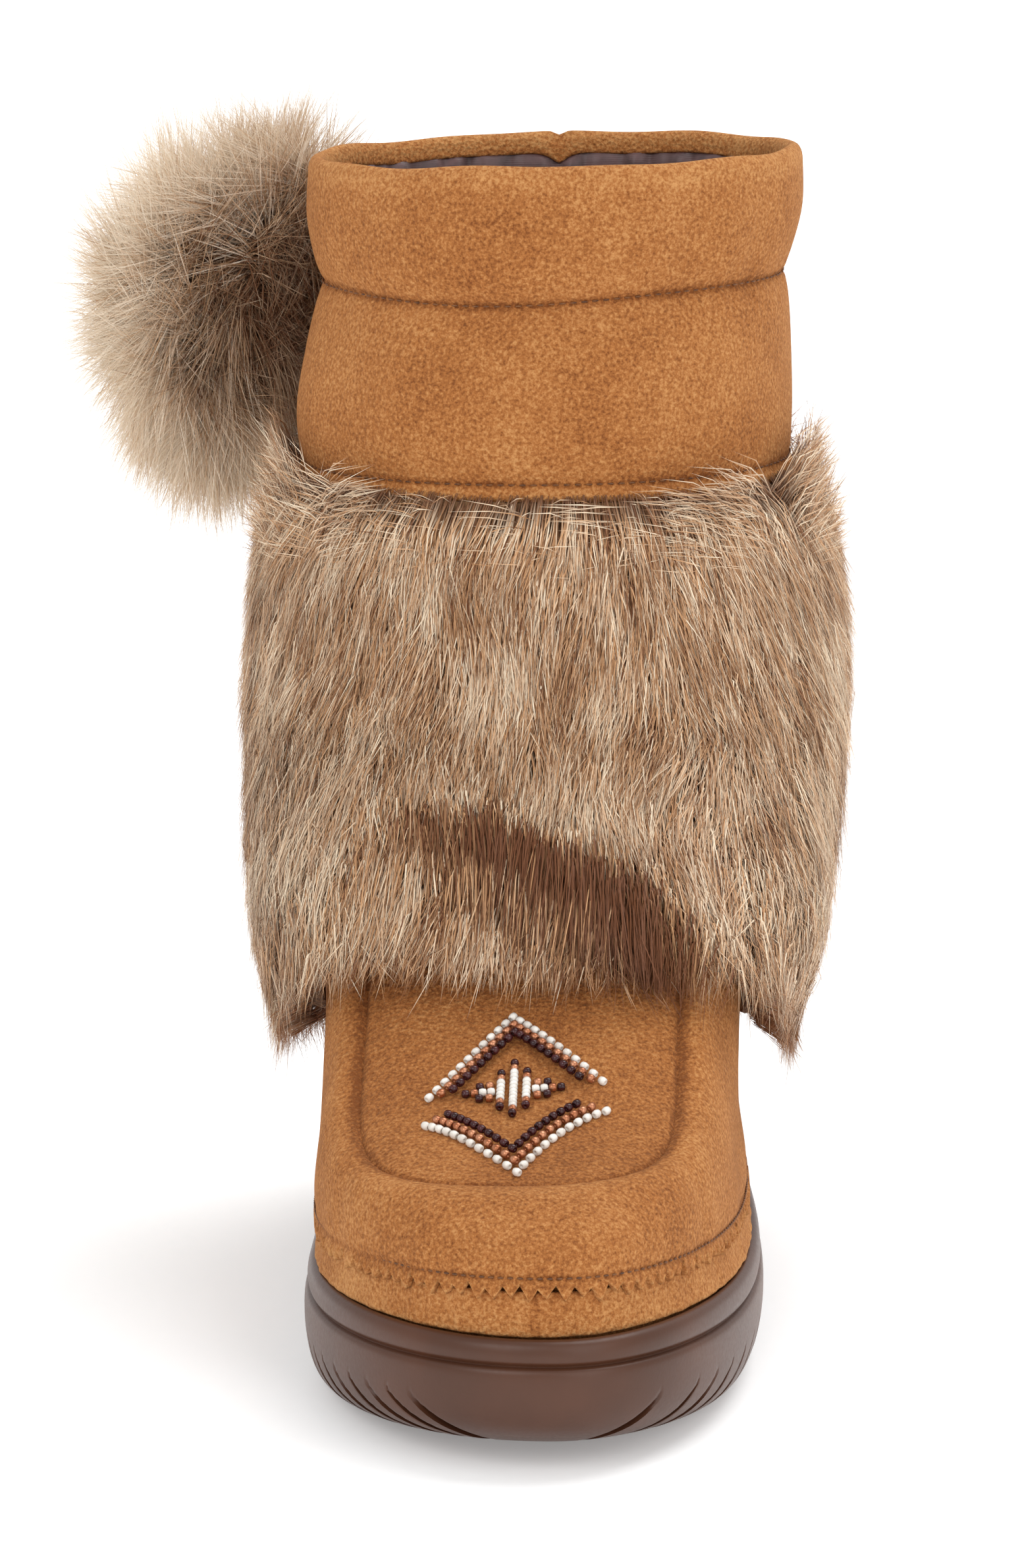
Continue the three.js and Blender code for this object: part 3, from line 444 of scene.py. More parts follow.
def collar_shape(u, v):
    rows = collar_profile[np.rint(v * (len(collar_profile) - 1)).astype(int)]
    level, out, rise, shows = rows.T
    z = last(u, level)[:, 2]
    out = out + shows * (rise == 0) * collar_relief(u, z)
    places = skin(u, level, out)
    from_seam = from_back_seam(u)
    at_rim = ease(RIM - 14, RIM, z)
    dip = 1.0 * hump(from_seam, 0, 1.5) + (out < -3) * 1.7 * hump(from_seam, 0, 4)
    places[:, 2] += rise - dip * at_rim
    places[:, 2] += at_rim * 0.35 * waves(u, (4, 7, 11), 8)
    # The tint is darker in the channel's groove and along the hem's stitch line, a painted shade; it
    # is paler along the hem's fold and over the rolled rim, and darker along the back seam.
    tint = 0.5 + 0.14 * hump(z, 194.6, 1.6) * shows - 0.32 * hump(z, CHANNEL, 0.8)
    tint += 0.14 * ease(RIM - 3, RIM, z) * shows - 0.3 * hump(z, 197.6, 0.6)
    tint -= 0.25 * hump(from_seam, 0, 1.6) * shows
    return slant(places), tint


collar = grid_piece("upper_suede", 340, len(collar_profile) - 1, collar_shape)


def suede_finish(name, dark, body, light):
    """Split cowhide suede, sueded on a drum and brushed by hand: matt, with a short nap that lies
    in cloudy patches, pebbled at about a millimetre, paler or darker where the piece's tint says.
    The tint holds painted shade and painted light as well as the suede's own marks."""
    made, tree, shader, at = new_material(name, 0.92)
    noise = {"Vector": at, "Scale": 42, "Detail": 5, "Roughness": 0.62}
    patches = add(tree, "ShaderNodeTexNoise", noise).outputs["Fac"]
    noise = {"Vector": at, "Scale": 1150, "Detail": 4, "Roughness": 0.7}
    nap = add(tree, "ShaderNodeTexNoise", noise).outputs["Fac"]
    pebble = add(tree, "ShaderNodeTexVoronoi", {"Vector": at, "Scale": 900}).outputs["Distance"]
    tint = add(tree, "ShaderNodeAttribute", attribute_name="tint").outputs["Fac"]
    total = -1.25
    for part, weight in ((patches, 0.6), (nap, 2.0), (tint, 0.9)):
        sums = {0: part, 1: weight, 2: total}
        total = add(tree, "ShaderNodeMath", sums, operation="MULTIPLY_ADD").outputs[0]
    base = ramp(tree, total, [(0.12, dark), (0.5, body), (0.9, light)])
    rough = add(tree, "ShaderNodeMath", {0: pebble, 1: nap}, operation="ADD").outputs[0]
    fine = add(tree, "ShaderNodeBump", {"Height": rough, "Strength": 0.8, "Distance": 0.0006})
    feed(tree, shader, {"Base Color": base, "Normal": fine.outputs["Normal"], "IOR": 1.4})
    feed(tree, shader, {"Specular IOR Level": 0.25, "Sheen Tint": colour("#E6B67E")})
    feed(tree, shader, {"Sheen Weight": 0.22, "Sheen Roughness": 0.55})
    return made


suede = suede_finish("brushed_suede", "#7A4420", "#AA6B38", "#CC945C")
finish(collar, suede, "upper")


def joined(name, points, loops, starts):
    """One mesh of many small copies. points holds each copy's vertices, in millimetres, and loops
    and starts say how one copy's faces run."""
    count, each = points.shape[:2]
    shift = np.arange(count)[:, None]
    mesh = bpy.data.meshes.new(name)
    mesh.vertices.add(count * each)
    mesh.loops.add(count * len(loops))
    mesh.polygons.add(count * len(starts))
    mesh.vertices.foreach_set("co", (points * 0.001).ravel())
    mesh.loops.foreach_set("vertex_index", (loops[None] + shift * each).ravel())
    mesh.polygons.foreach_set("loop_start", (starts[None] + shift * len(loops)).ravel())
    mesh.update(calc_edges=True)
    mesh.shade_smooth()
    piece = bpy.data.objects.new(name, mesh)
    bpy.context.scene.collection.objects.link(piece)
    return piece


def repeated(name, model, centres, along, up):
    """Copies of a small part at those centres, each with its X along and its Z up."""
    points = np.array([v.co for v in model.data.vertices]) * 1000
    loops = np.empty(len(model.data.loops), int)
    model.data.loops.foreach_get("vertex_index", loops)
    starts = np.array([p.loop_start for p in model.data.polygons])
    along = unit(along)
    up = unit(up - along * (up * along).sum(1)[:, None])
    axes = np.stack([along, np.cross(up, along), up], 1)
    placed = centres[:, None] + np.einsum("pk,nkj->npj", points, axes)
    return joined(name, placed, loops, starts)


def stitch_model(length, thick):
    """One stitch: thread going in and out of the leather, as a long bead. Millimetres."""
    bpy.ops.object.select_all(action="DESELECT")
    bpy.ops.mesh.primitive_uv_sphere_add(segments=6, ring_count=5, radius=0.0005)
    model = bpy.context.object
    bpy.ops.transform.resize(value=(length, thick, thick))
    bpy.ops.object.transform_apply(location=True, rotation=True, scale=True)
    return model


def sew(name, turn, level, out, length, thick, settle=None):
    """Stitches of one seam, a real thread length apart, laid along places on the last."""
    fine = skin(turn, level, out)
    if settle:
        fine = settle(fine)
    run = np.concatenate([[0], np.cumsum(np.linalg.norm(np.diff(fine, axis=0), axis=1))])
    count = int(run[-1] / length)
    middles = (np.arange(count) + 0.5) * run[-1] / count
    at = np.stack([np.interp(middles, run, fine[:, k]) for k in range(3)], -1)
    on = np.stack([np.interp(middles + 0.4, run, fine[:, k]) for k in range(3)], -1)
    normals = last_normal(np.interp(middles, run, turn), np.interp(middles, run, level))
    model = stitch_model(length * 0.7, thick)
    seam = repeated(name, model, at, on - at, normals)
    bpy.data.objects.remove(model)
    finish(seam, thread)


# Bonded polyester thread, twisted: dark brown with a dull shine.
thread, tree, shader, at = new_material("bonded_thread", 0.6)
twist = add(tree, "ShaderNodeTexNoise", {"Vector": at, "Scale": 900}).outputs["Fac"]
base = ramp(tree, twist, [(0.35, "#4E2C14"), (0.65, "#784A22")])
feed(tree, shader, {"Base Color": base})

round_turns = np.linspace(0.004, 0.996, 1400)
channel_level = np.full(1400, level_at(0, CHANNEL)[0])
channel_out = -0.75 + 0.1 * waves(round_turns, (47, 61, 79, 96), 5)
sew("channel_stitches", round_turns, channel_level, channel_out, 2.6, 0.5, slant)
hem_stitch_level = np.full(1400, level_at(0, 197.6)[0])
sew("hem_stitches", round_turns, hem_stitch_level, np.full(1400, 0.12), 2.6, 0.5, slant)

# ---------------------------------------------------------------------------------------------
# Lining: plum-brown satin over thin wadding, gathered as it is sewn in, from under the rim down
# to the insole.
lining_rows = [(TOP_LEVEL, -3.9, -0.8), (TOP_LEVEL, -4.5, -1.9), (TOP_LEVEL, -5.2, -3.6)]
for z in np.linspace(262, 196, 24):
    lining_rows.append((level_at(0, z)[0], -mix(WALL, COLLAR_WALL, (z - HEM) / (RIM - HEM)) - 0.9, 0))
for level in np.linspace(hem_level - 0.1, 9.4, 9):
    lining_rows.append((level, -SEAT - WALL - 0.4, 0))
for level in np.linspace(9, 0.2, 20):
    lining_rows.append((level, -SEAT * ease(8.3, 9.3, level) - WALL - 0.3, 0))
lining_rows = np.array(lining_rows)


def lining_shape(u, v):
    level, out, rise = lining_rows[np.rint(v * (len(lining_rows) - 1)).astype(int)].T
    z = last(u, level)[:, 2] + rise
    gathers = waves(u, (29, 38, 47, 61), 12) * (0.35 + 0.75 * ease(225, 262, z))
    quilt = 0.9 * np.abs(np.sin(math.pi * (z - 264) / 26))
    out = out + (v > 0.01) * (0.75 * gathers - quilt) * ease(60, 120, z)
    places = skin(u, level, out)
    from_seam = from_back_seam(u)
    places[:, 2] += rise - 2.0 * hump(from_seam, 0, 4.2) * ease(RIM - 14, RIM, z)
    return slant(places), 0.5 + 0.2 * gathers


lining = grid_piece("lining_satin", 300, len(lining_rows) - 1, lining_shape)
# Woven polyester satin: long floats across the weave give a smooth sheen that follows each
# gather, over a plain dark body.
satin, tree, shader, at = new_material("plum_satin", 0.42)
slub = add(tree, "ShaderNodeTexNoise", {"Vector": at, "Scale": 260, "Detail": 3}).outputs["Fac"]
base = ramp(tree, slub, [(0.3, "#452C2B"), (0.7, "#644443")])
wave = {"Vector": at, "Scale": 700, "Distortion": 1.5}
weave = add(tree, "ShaderNodeTexWave", wave, bands_direction="Z").outputs["Fac"]
floats = add(tree, "ShaderNodeBump", {"Height": weave, "Strength": 0.15, "Distance": 0.0002})
feed(tree, shader, {"Base Color": base, "Normal": floats.outputs["Normal"], "Sheen Weight": 0.3})
finish(lining, satin, "upper")

# ---------------------------------------------------------------------------------------------
# Insole: a moulded foam bed with a brushed cover, which lies on the cup's floor inside the upper.
# Its middle is dished for the heel and its edge is rounded.
insole_rows = [
    # share of the way out from the middle, height over its underside
    (0.0, 0.3),
    (0.1, 0.0),
    (0.45, 0.1),
    (0.85, 0.0),
    (1.0, 0.5),
    (1.0, 1.4),
    (1.0, 3.4),
    (0.985, 4.0),
    (0.95, 4.25),
    (0.85, 4.1),
    (0.6, 3.9),
    (0.3, 3.8),
    (0.0, 3.8),
]
insole_rows = np.array(insole_rows)


def insole_shape(u, v):
    share, rise = smooth_rows(insole_rows, v * (len(insole_rows) - 1)).T
    edge = skin(u, np.full(len(u), 0.35), np.full(len(u), -WALL - 1.2))
    middle_y = np.clip(edge[:, 1], -190, -5)
    x = edge[:, 0] * share
    y = middle_y + (edge[:, 1] - middle_y) * share
    dish = 0.5 * hump(y, -8, 30) * hump(x, 0, 22) * (rise > 2)
    return np.stack([x, y, lip_height(y) - LIP_DEPTH + 0.3 + rise - dish], -1)


insole = grid_piece("insole_foam", 200, 40, insole_shape)
# EVA foam under a brushed polyester cover: soft, matt, with a short even pile.
cover, tree, shader, at = new_material("brushed_cover", 0.95)
pile = add(tree, "ShaderNodeTexNoise", {"Vector": at, "Scale": 900, "Detail": 4}).outputs["Fac"]
base = ramp(tree, pile, [(0.3, "#4C3635"), (0.7, "#6B5350")])
bump = add(tree, "ShaderNodeBump", {"Height": pile, "Strength": 0.6, "Distance": 0.0005})
feed(tree, shader, {"Base Color": base, "Normal": bump.outputs["Normal"]})
finish(insole, cover, "insole")

# ---------------------------------------------------------------------------------------------
# Rand: a strip of the same suede round the foot's edge, cemented down over the lip of the sole.
# Its two ends butt at the middle of the toe.
RAND, RAND_FLARE, RAND_TALL = 1.5, 1.4, 8.0
even_turns = np.linspace(0, 1, 1201)
edge_run = np.linalg.norm(np.diff(last(even_turns, 1.2), axis=0), axis=1)
edge_run = np.concatenate([[0], np.cumsum(edge_run)])
AROUND = edge_run[-1]


def even(u):
    """Turn at a share of the real length round the foot."""
    return np.interp(u, edge_run / AROUND, even_turns)


rand_lip = skin(even_turns, 0.0, np.full(1201, RAND + RAND_FLARE))
rand_foot = level_at(even_turns, lip_height(rand_lip[:, 1]) + 0.3)
rand_foot_z = last(even_turns, rand_foot)[:, 2]
rand_top = level_at(even_turns, rand_foot_z + RAND_TALL + 1.2)
rand_profile = [
    # share of its height, out
    (0.02, 0.35),
    (0.0, 1.6),
    (-0.01, 2.6),
    (0.03, 3.15),
    (0.12, 3.15),
    (0.25, 2.75),
    (0.45, 2.35),
    (0.7, 1.95),
    (0.93, 1.7),
    (1.0, 1.3),
    (1.0, 0.4),
]
rand_profile = np.array(rand_profile)


def rand_shape(u, v):
    turn = even(u)
    share, out = smooth_rows(rand_profile, v * (len(rand_profile) - 1)).T
    low, high = np.interp(turn, even_turns, rand_foot), np.interp(turn, even_turns, rand_top)
    from_butt = (turn - 0.497) * AROUND * 0.9
    out = out + 0.12 * waves(u, (31, 45, 66, 90), 21) * (out > 1)
    out = out - 0.5 * hump(from_butt, 0, 0.8) * (out > 1)
    tint = 0.56 + 0.12 * hump(share, 0.05, 0.1) - 0.3 * hump(from_butt, 0, 1.1)
    return skin(turn, mix(low, high, share), out), tint


rand = grid_piece("rand_suede", 700, 20, rand_shape)
finish(rand, suede, "rand")

# ---------------------------------------------------------------------------------------------
# Vamp: the wall of the moccasin, padded suede all round the foot. Its lower edge is pinked with
# zigzag shears and sewn down over the rand. Over the toes it has a window for the apron, where
# its edge is turned in and gathered to a soft raised ridge.
VAMP, GAP, VAMP_TOP, TEETH = 2.6, 0.3, 8.2, 172
APRON_FRONT, APRON_CORNER, APRON_HALF, APRON_MIDDLE, APRON_BOW = 211.0, 47.0, 35.6, -3.0, 2.7
vamp_foot = level_at(even_turns, rand_foot_z + RAND_TALL - 0.4)


def from_window(x, y):
    """Distance in plan outside the window's edge. It is negative over the apron."""
    across = np.abs(x - APRON_MIDDLE) / APRON_HALF
    ahead = np.maximum((-APRON_FRONT + APRON_CORNER - y) / APRON_CORNER, 0)
    r = np.maximum((across**APRON_BOW + ahead**APRON_BOW) ** (1 / APRON_BOW), 1e-6)
    slope_x = across ** (APRON_BOW - 1) / APRON_HALF
    slope_y = ahead ** (APRON_BOW - 1) / APRON_CORNER
    slope = np.hypot(slope_x, slope_y) * r ** (1 - APRON_BOW)
    return np.where(y > -60, 50, (r - 1) / np.maximum(slope, 1e-6))


edge_shares = [0, 0, 0.004, 0.012, 0.022, 0.034, 0.045, 0.054, 0.062, 0.07]
row_share = np.concatenate([edge_shares, np.linspace(0.079, 1, 88)])
row_out = np.concatenate([[-1.2, -0.1, 0.4, 0.45, 0.3, 0.12], np.zeros(92)])
# Soft troughs and ridges of the vamp: place in plan, heading, half length, width and depth.
vamp_creases = [
    (-38, -196, 35, 9, 3.2, -0.45),
    (-41, -176, 20, 8, 3.0, -0.35),
    (33, -193, -40, 9, 3.4, -0.5),
    (35, -170, -15, 9, 3.0, -0.35),
    (-20, -221, 78, 11, 3.6, 0.35),
    (14, -223, -82, 12, 3.6, 0.3),
    (-2, -216, 90, 14, 2.6, -0.25),
    (-45, -150, 8, 14, 3.5, -0.5),
    (43, -146, -6, 14, 3.5, -0.5),
]
window_depth = []


def vamp_shape(u, v):
    row = np.rint(v * (len(row_share) - 1)).astype(int)
    turn = even(u)
    low = np.interp(turn, even_turns, vamp_foot)
    level = mix(low, VAMP_TOP, row_share[row])
    above = last(turn, level)[:, 2] - last(turn, low)[:, 2]
    # The pinked teeth, a little uneven, are cut into the first few millimetres.
    saw = np.abs(np.mod(u * TEETH, 1) - 0.5) * 2
    tooth = (2.3 * saw + 0.5 * waves(u, (57, 83, 101), 31)) * np.clip(1 - above / 3.2, 0, 1)
    level = level + tooth * 0.11
    base = last(turn, level)
    d = from_window(base[:, 0], base[:, 1])
    window_depth.append(d)
    front = ease(-150, -208, base[:, 1])
    wide = mix(3.6, 6.5, front * hump(base[:, 0], APRON_MIDDLE, 24))
    rounded = np.sqrt(np.clip(1 - (1 - np.clip(d / wide, 0, 1)) ** 2, 0, 1))
    out = GAP + VAMP + row_out[row]
    out = out + 0.9 * hump(d, wide * 1.1, wide * 0.8)
    out = out + 0.08 * waves(u, (95, 120, 151), 33) * hump(d, 2.5, 3)
    low_out = mix(0.9, 0.8, front)
    out = np.where(d < wide, mix(low_out, out, rounded), out)
    out = np.where(d < 0, low_out + 1.6 * np.maximum(d, -2), out)
    out = out - 0.35 * hump(above, 4.3, 0.7) * (row > 1)
    out = out + 0.25 * hump(above, 9, 5) + 0.1 * waves(u, (17, 26, 39), 35) * hump(above, 6, 5)
    for x, y, heading, half, width, deep in vamp_creases:
        c, s = math.cos(math.radians(heading)), math.sin(math.radians(heading))
        dx, dy = base[:, 0] - x, base[:, 1] - y
        on_line = hump(dx * s + dy * c, 0, half) * hump(dx * c - dy * s, 0, width)
        out = out + deep * on_line * (d > 0)
    # The foot's suede is a little darker than the collar's all over. The tint is paler at the pinked
    # cut edge, the suede's own colour there; darker along the stitch line's groove and in the
    # window's turned-in seam, a painted shade; and a little paler on top of the ridge, a painted
    # highlight.
    tint = 0.43 + 0.3 * hump(row, 1.5, 1.2) - 0.25 * hump(above, 4.3, 0.6)
    tint = tint - 0.34 * hump(d, 0.4, 0.9) + 0.08 * hump(d, wide * 0.9, 2.5)
    return skin(turn, level, out), tint


vamp = grid_piece("vamp_suede", TEETH * 4, len(row_share) - 1, vamp_shape, closed=False)
bpy.ops.object.mode_set(mode="EDIT")
bpy.ops.mesh.select_mode(type="VERT")
bpy.ops.mesh.select_all(action="DESELECT")
bpy.ops.object.mode_set(mode="OBJECT")
vamp.data.vertices.foreach_set("select", window_depth[0] < -1.7)
bpy.ops.object.mode_set(mode="EDIT")
bpy.ops.mesh.delete(type="VERT")
edit_all(bpy.ops.mesh.remove_doubles, threshold=2e-6)
finish(vamp, suede, "vamp")

sew_turns = even(np.linspace(0.001, 0.999, 1600))
sew_low = last(sew_turns, np.interp(sew_turns, even_turns, vamp_foot))[:, 2]
sew_level = level_at(sew_turns, sew_low + 4.3)
sew("vamp_stitches", sew_turns, sew_level, np.full(1600, GAP + VAMP - 0.02), 2.15, 0.55)

# ---------------------------------------------------------------------------------------------
# Apron: the plug over the toes, a flat cut of the same suede set lower than the vamp's ridge. It
# runs up under the fur, and is slightly padded.
APRON, APRON_TOP = 1.0, 130.0


def over_foot(x, y, rounds=16):
    """Turn and level of the last above a place in plan, on the top of the foot."""
    x, y = np.ravel(x).astype(float), np.ravel(y).astype(float)
    turn, level = 0.5 - x / 400, np.full(x.size, 4.5)
    for _ in range(rounds):
        p = last(turn, level)
        dx, dy = x - p[:, 0], y - p[:, 1]
        a = (last(turn + 1e-3, level) - p) / 1e-3
        b = (last(turn, level + 1e-3) - p) / 1e-3
        det = a[:, 0] * b[:, 1] - b[:, 0] * a[:, 1]
        turn = turn + np.clip((dx * b[:, 1] - dy * b[:, 0]) / det, -0.04, 0.04)
        step = np.clip((dy * a[:, 0] - dx * a[:, 1]) / det, -0.8, 0.8)
        level = np.clip(level + step, 0.2, TOP_LEVEL)
    return turn, level


def apron_shape(u, v):
    across = -np.cos(u * math.pi)
    bow = APRON_CORNER * (1 - (1 - np.abs(across) ** APRON_BOW) ** (1 / APRON_BOW))
    x = APRON_MIDDLE + across * (APRON_HALF + 1.4)
    y = mix(-APRON_FRONT - 1.4 + bow, -APRON_TOP, v)
    turn, level = over_foot(x, y)
    d = from_window(x, y)
    out = GAP + APRON + 0.35 * ease(0, -9, d) - 1.2 * ease(-1.6, 1.2, d)
    out = out + 0.12 * np.sin(x * 0.21 + 1) * np.sin(y * 0.16)
    # The apron's tint is darker than the collar's all over, and darker still where it runs under the
    # vamp's ridge, a painted shade there.
    return skin(turn, level, out), 0.38 - 0.25 * hump(d, 0.2, 1.3)


apron = grid_piece("apron_suede", 104, 96, apron_shape, closed=False)
finish(apron, suede, "apron")

# ---------------------------------------------------------------------------------------------
# Beadwork: round glass seed beads, sewn to the apron one by one in straight rows. Each chevron
# has a row of pearl, a row of copper and a row of dark beads, and a stepped star lies between.
BEAD_ROWS, ARM_BEADS, ROW_RISE, STAR, STAR_LEAN = 3, 11, 0.6, (-3.95, -173.75), 0.12
chevrons = [
    # distance between rows, then its path from the outer end by the tip to the inner end
    (1.85, (-22.7, -175.9), (-13.7, -163.5), (-4.8, -153.2), (4.9, -160.05), (15.9, -170.25)),
    (2.2, (-22.9, -186.1), (-13.7, -192.65), (-1.95, -206.6), (6.3, -190.15), (16.95, -180.1)),
]
beads = []
for which, (row_pitch, *path) in enumerate(chevrons):
    outer_end, outer_half, tip, inner_half, inner_end = (np.array(p) for p in path)
    cut = unit(inner_end - outer_end)
    arms = [(outer_half, outer_end), (inner_half, inner_end)]
    ways = [unit(end - tip) for _, end in arms]
    corner = math.tan(math.acos(ways[0] @ ways[1]) / 2)
    for side, (halfway, end) in enumerate(arms):
        way, span = ways[side], np.linalg.norm(end - tip)
        inward = unit(ways[1 - side] - way * (ways[0] @ ways[1]))
        shorter = (inward[0] * cut[1] - inward[1] * cut[0]) / (way[0] * cut[1] - way[1] * cut[0])
        for row in range(BEAD_ROWS):
            off = row * row_pitch
            first, last_one = off / corner / span, 1 - shorter * off / span
            count = ARM_BEADS - row
            for k in range(side, count + 1):
                t = first + (last_one - first) * k / count
                bow = 4 * t * (1 - t) * (halfway - (tip + end) / 2)
                beads.append((which, row, *(tip + (end - tip) * t + bow + inward * off), *way, row))
star_columns = [
    # across, then the bead kinds and their lengths down the column
    (0.0, [2, 1] + [0] * 10 + [1, 2], [1.6, 1.35] + [1.18] * 10 + [1.35, 1.6]),
    (-2.9, [2, 1] + [0] * 5 + [1, 2], [1.5, 1.45] + [1.25] * 5 + [1.45, 1.5]),
    (2.9, [2, 1] + [0] * 5 + [1, 2], [1.5, 1.45] + [1.25] * 5 + [1.45, 1.5]),
]
star_wing = [(5.0, 0, 0), (6.9, 0, 0), (8.8, 1, 0), (10.7, 2, 0)]
star_wing += [(5.4, 1, 2.0), (5.4, 1, -2.0), (7.6, 2, 1.9), (7.6, 2, -1.9)]
for across, kinds, lengths in star_columns:
    places = np.cumsum(lengths) - np.array(lengths) / 2 - sum(lengths) / 2
    for kind, place in zip(kinds, places):
        beads.append((2, kind, STAR[0] + across, STAR[1] + across * STAR_LEAN + place, 0, 1, 0.3))
for side in (-1, 1):
    for across, kind, place in star_wing:
        x = side * across
        beads.append((3, kind, STAR[0] + x, STAR[1] + x * STAR_LEAN + place, 1, STAR_LEAN, 0))
beads = np.array(beads)


def bead_model(long):
    """One seed bead, a rounded ring whose hole runs along X. Millimetres."""
    bpy.ops.object.select_all(action="DESELECT")
    ring = {"major_segments": 12, "minor_segments": 7}
    bpy.ops.mesh.primitive_torus_add(major_radius=0.00056, minor_radius=0.00046, **ring)
    model = bpy.context.object
    bpy.ops.transform.resize(value=(1, 1, long / 0.92))
    bpy.ops.object.transform_apply(location=True, rotation=True, scale=True)
    bpy.ops.transform.rotate(value=math.pi / 2, orient_axis="Y", center_override=(0, 0, 0))
    bpy.ops.object.transform_apply(location=True, rotation=True, scale=True)
    return model


def bead_glass(name, codes, metallic, roughness, coat):
    """Pressed seed-bead glass with a fired finish: pearl is a milky lustre, copper a thin metal
    film and the dark one plain deep glass. All are glossy, and no two are quite alike."""
    made, tree, shader, at = new_material(name, roughness)
    lot = add(tree, "ShaderNodeTexNoise", {"Vector": at, "Scale": 420}).outputs["Fac"]
    base = ramp(tree, lot, [(0.35, codes[0]), (0.65, codes[1])])
    feed(tree, shader, {"Base Color": base, "Metallic": metallic, "Specular IOR Level": 0.35})
    feed(tree, shader, {"Coat Weight": coat, "Coat Roughness": 0.08})
    return made


bead_kinds = [
    ("pearl", bead_glass("pearl_glass", ("#D9D2C8", "#F2EEE6"), 0.0, 0.25, 0.6)),
    ("copper", bead_glass("copper_lined_glass", ("#A8643F", "#CC8E6A"), 0.7, 0.32, 0.3)),
    ("dark", bead_glass("aubergine_glass", ("#2C0E10", "#481C1E"), 0.0, 0.12, 0.1)),
]
bead_out = GAP + APRON + 0.35 + 0.8 + ROW_RISE * beads[:, 6]
bead_turn, bead_level = over_foot(beads[:, 2], beads[:, 3], 24)
bead_up = last_normal(bead_turn, bead_level)
bead_nodes = [("bead_chevron_upper", "upper_chevron"), ("bead_chevron_lower", "lower_chevron")]
bead_nodes += [("bead_star", "star_columns"), ("bead_star", "star_wings")]
bead_at = skin(bead_turn, bead_level, bead_out)
next_place = beads[:, 2:4] + beads[:, 4:6] * 0.5
bead_way = skin(*over_foot(next_place[:, 0], next_place[:, 1], 24), bead_out) - bead_at
models = [bead_model(1.95), bead_model(1.95), bead_model(1.6), bead_model(1.85)]
for which, (node, part) in enumerate(bead_nodes):
    for kind, (word, glass) in enumerate(bead_kinds):
        chosen = (beads[:, 0] == which) & (beads[:, 1] == kind)
        sewn = (bead_at[chosen], bead_way[chosen], bead_up[chosen])
        row = repeated(f"{part}_{word}", models[which], *sewn)
        finish(row, glass, node)
for model in models:
    bpy.data.objects.remove(model)

# ---------------------------------------------------------------------------------------------
# Fur cuff: long-pile faux fur on a knitted backing, wrapped round the ankle and combed down. It
# is caught under the collar's hem, folds in a crease over the instep, and hangs free below.
FUR_DEPTH, FUR_TOP, FUR_FRONT, FUR_SIDE, FUR_BACK = 17.0, 192.0, 94.0, 60.0, 50.0
HAIRS_A_SIDE, FRINGE_DRAWS, LOCK_COLUMNS, LOCK_ROWS = 52000, 11000, 64, 41
fur_hem = [
    # ahead of the heel, height
    (-40, FUR_BACK),
    (20, FUR_BACK),
    (60, FUR_SIDE),
    (100, mix(FUR_SIDE, FUR_FRONT, 0.35)),
    (130, mix(FUR_SIDE, FUR_FRONT, 0.75)),
    (142, FUR_FRONT),
    (200, FUR_FRONT + 60),
]
# Share of the height, then how deep the fur is there as a share of its depth.
fur_profile = [(-0.2, 0.9), (0, 1.0), (0.12, 1.24), (0.3, 1.25)]
fur_profile += [(0.5, 1.08), (0.75, 0.95), (0.9, 0.78), (1, 0.5)]
fur_fold = [
    # the fold over the instep: column, then share of the height
    (0.36, 0.22),
    (0.416, 0.175),
    (0.474, 0.165),
    (0.508, 0.1),
    (0.531, 0.06),
    (0.551, 0.01),
    (0.572, -0.11),
    (0.581, -0.23),
]


def fur_turn(column, level):
    """Turn where a column of hair passes a level: straight down at the sides, and down the slope
    of the instep in front."""
    half = np.where(column <= 0.5, column, 1 - column)
    turn = 0.5 * (2 * half) ** mix(2, 1, ease(5, 11, level))
    return np.where(column <= 0.5, turn, 1 - turn)


FUR_COLUMNS, FUR_SHARES = 240, 84
columns = np.arange(FUR_COLUMNS + 1) / FUR_COLUMNS
low, high = np.zeros(len(columns)), np.full(len(columns), TOP_LEVEL)
for _ in range(26):
    middle = (low + high) / 2
    p = last(fur_turn(columns, middle), middle)
    hem_z = np.interp(-p[:, 1], [row[0] for row in fur_hem], [row[1] for row in fur_hem])
    low, high = np.where(p[:, 2] < hem_z, middle, low), np.where(p[:, 2] < hem_z, high, middle)
fur_hem_z = last(fur_turn(columns, low), low)[:, 2]
shares = np.linspace(-0.3, 1.12, FUR_SHARES)
grid_column, grid_share = (a.ravel() for a in np.meshgrid(columns, shares, indexing="ij"))
grid_z = mix(np.repeat(fur_hem_z, FUR_SHARES), FUR_TOP, grid_share)
grid_level = level_at(grid_column, grid_z)
grid_turn = fur_turn(grid_column, grid_level)
fur_base = last(grid_turn, grid_level).reshape(FUR_COLUMNS + 1, FUR_SHARES, 3)
fur_normal = last_normal(grid_turn, grid_level).reshape(FUR_COLUMNS + 1, FUR_SHARES, 3)


def on_fur(column, share, out):
    """A place in the cuff, that far outside the last, and the way out there."""
    c = np.mod(column, 1) * FUR_COLUMNS
    s = np.clip((share + 0.3) / 1.42 * (FUR_SHARES - 1), 0, FUR_SHARES - 1.001)
    i, j = np.minimum(np.floor(c).astype(int), FUR_COLUMNS - 1), np.floor(s).astype(int)
    a, b = (c - i)[:, None], (s - j)[:, None]

    def between(grid):
        near = mix(grid[i, j], grid[i + 1, j], a)
        return mix(near, mix(grid[i, j + 1], grid[i + 1, j + 1], a), b)

    normal = unit(between(fur_normal))
    return between(fur_base) + normal * np.reshape(out, (-1, 1)), normal


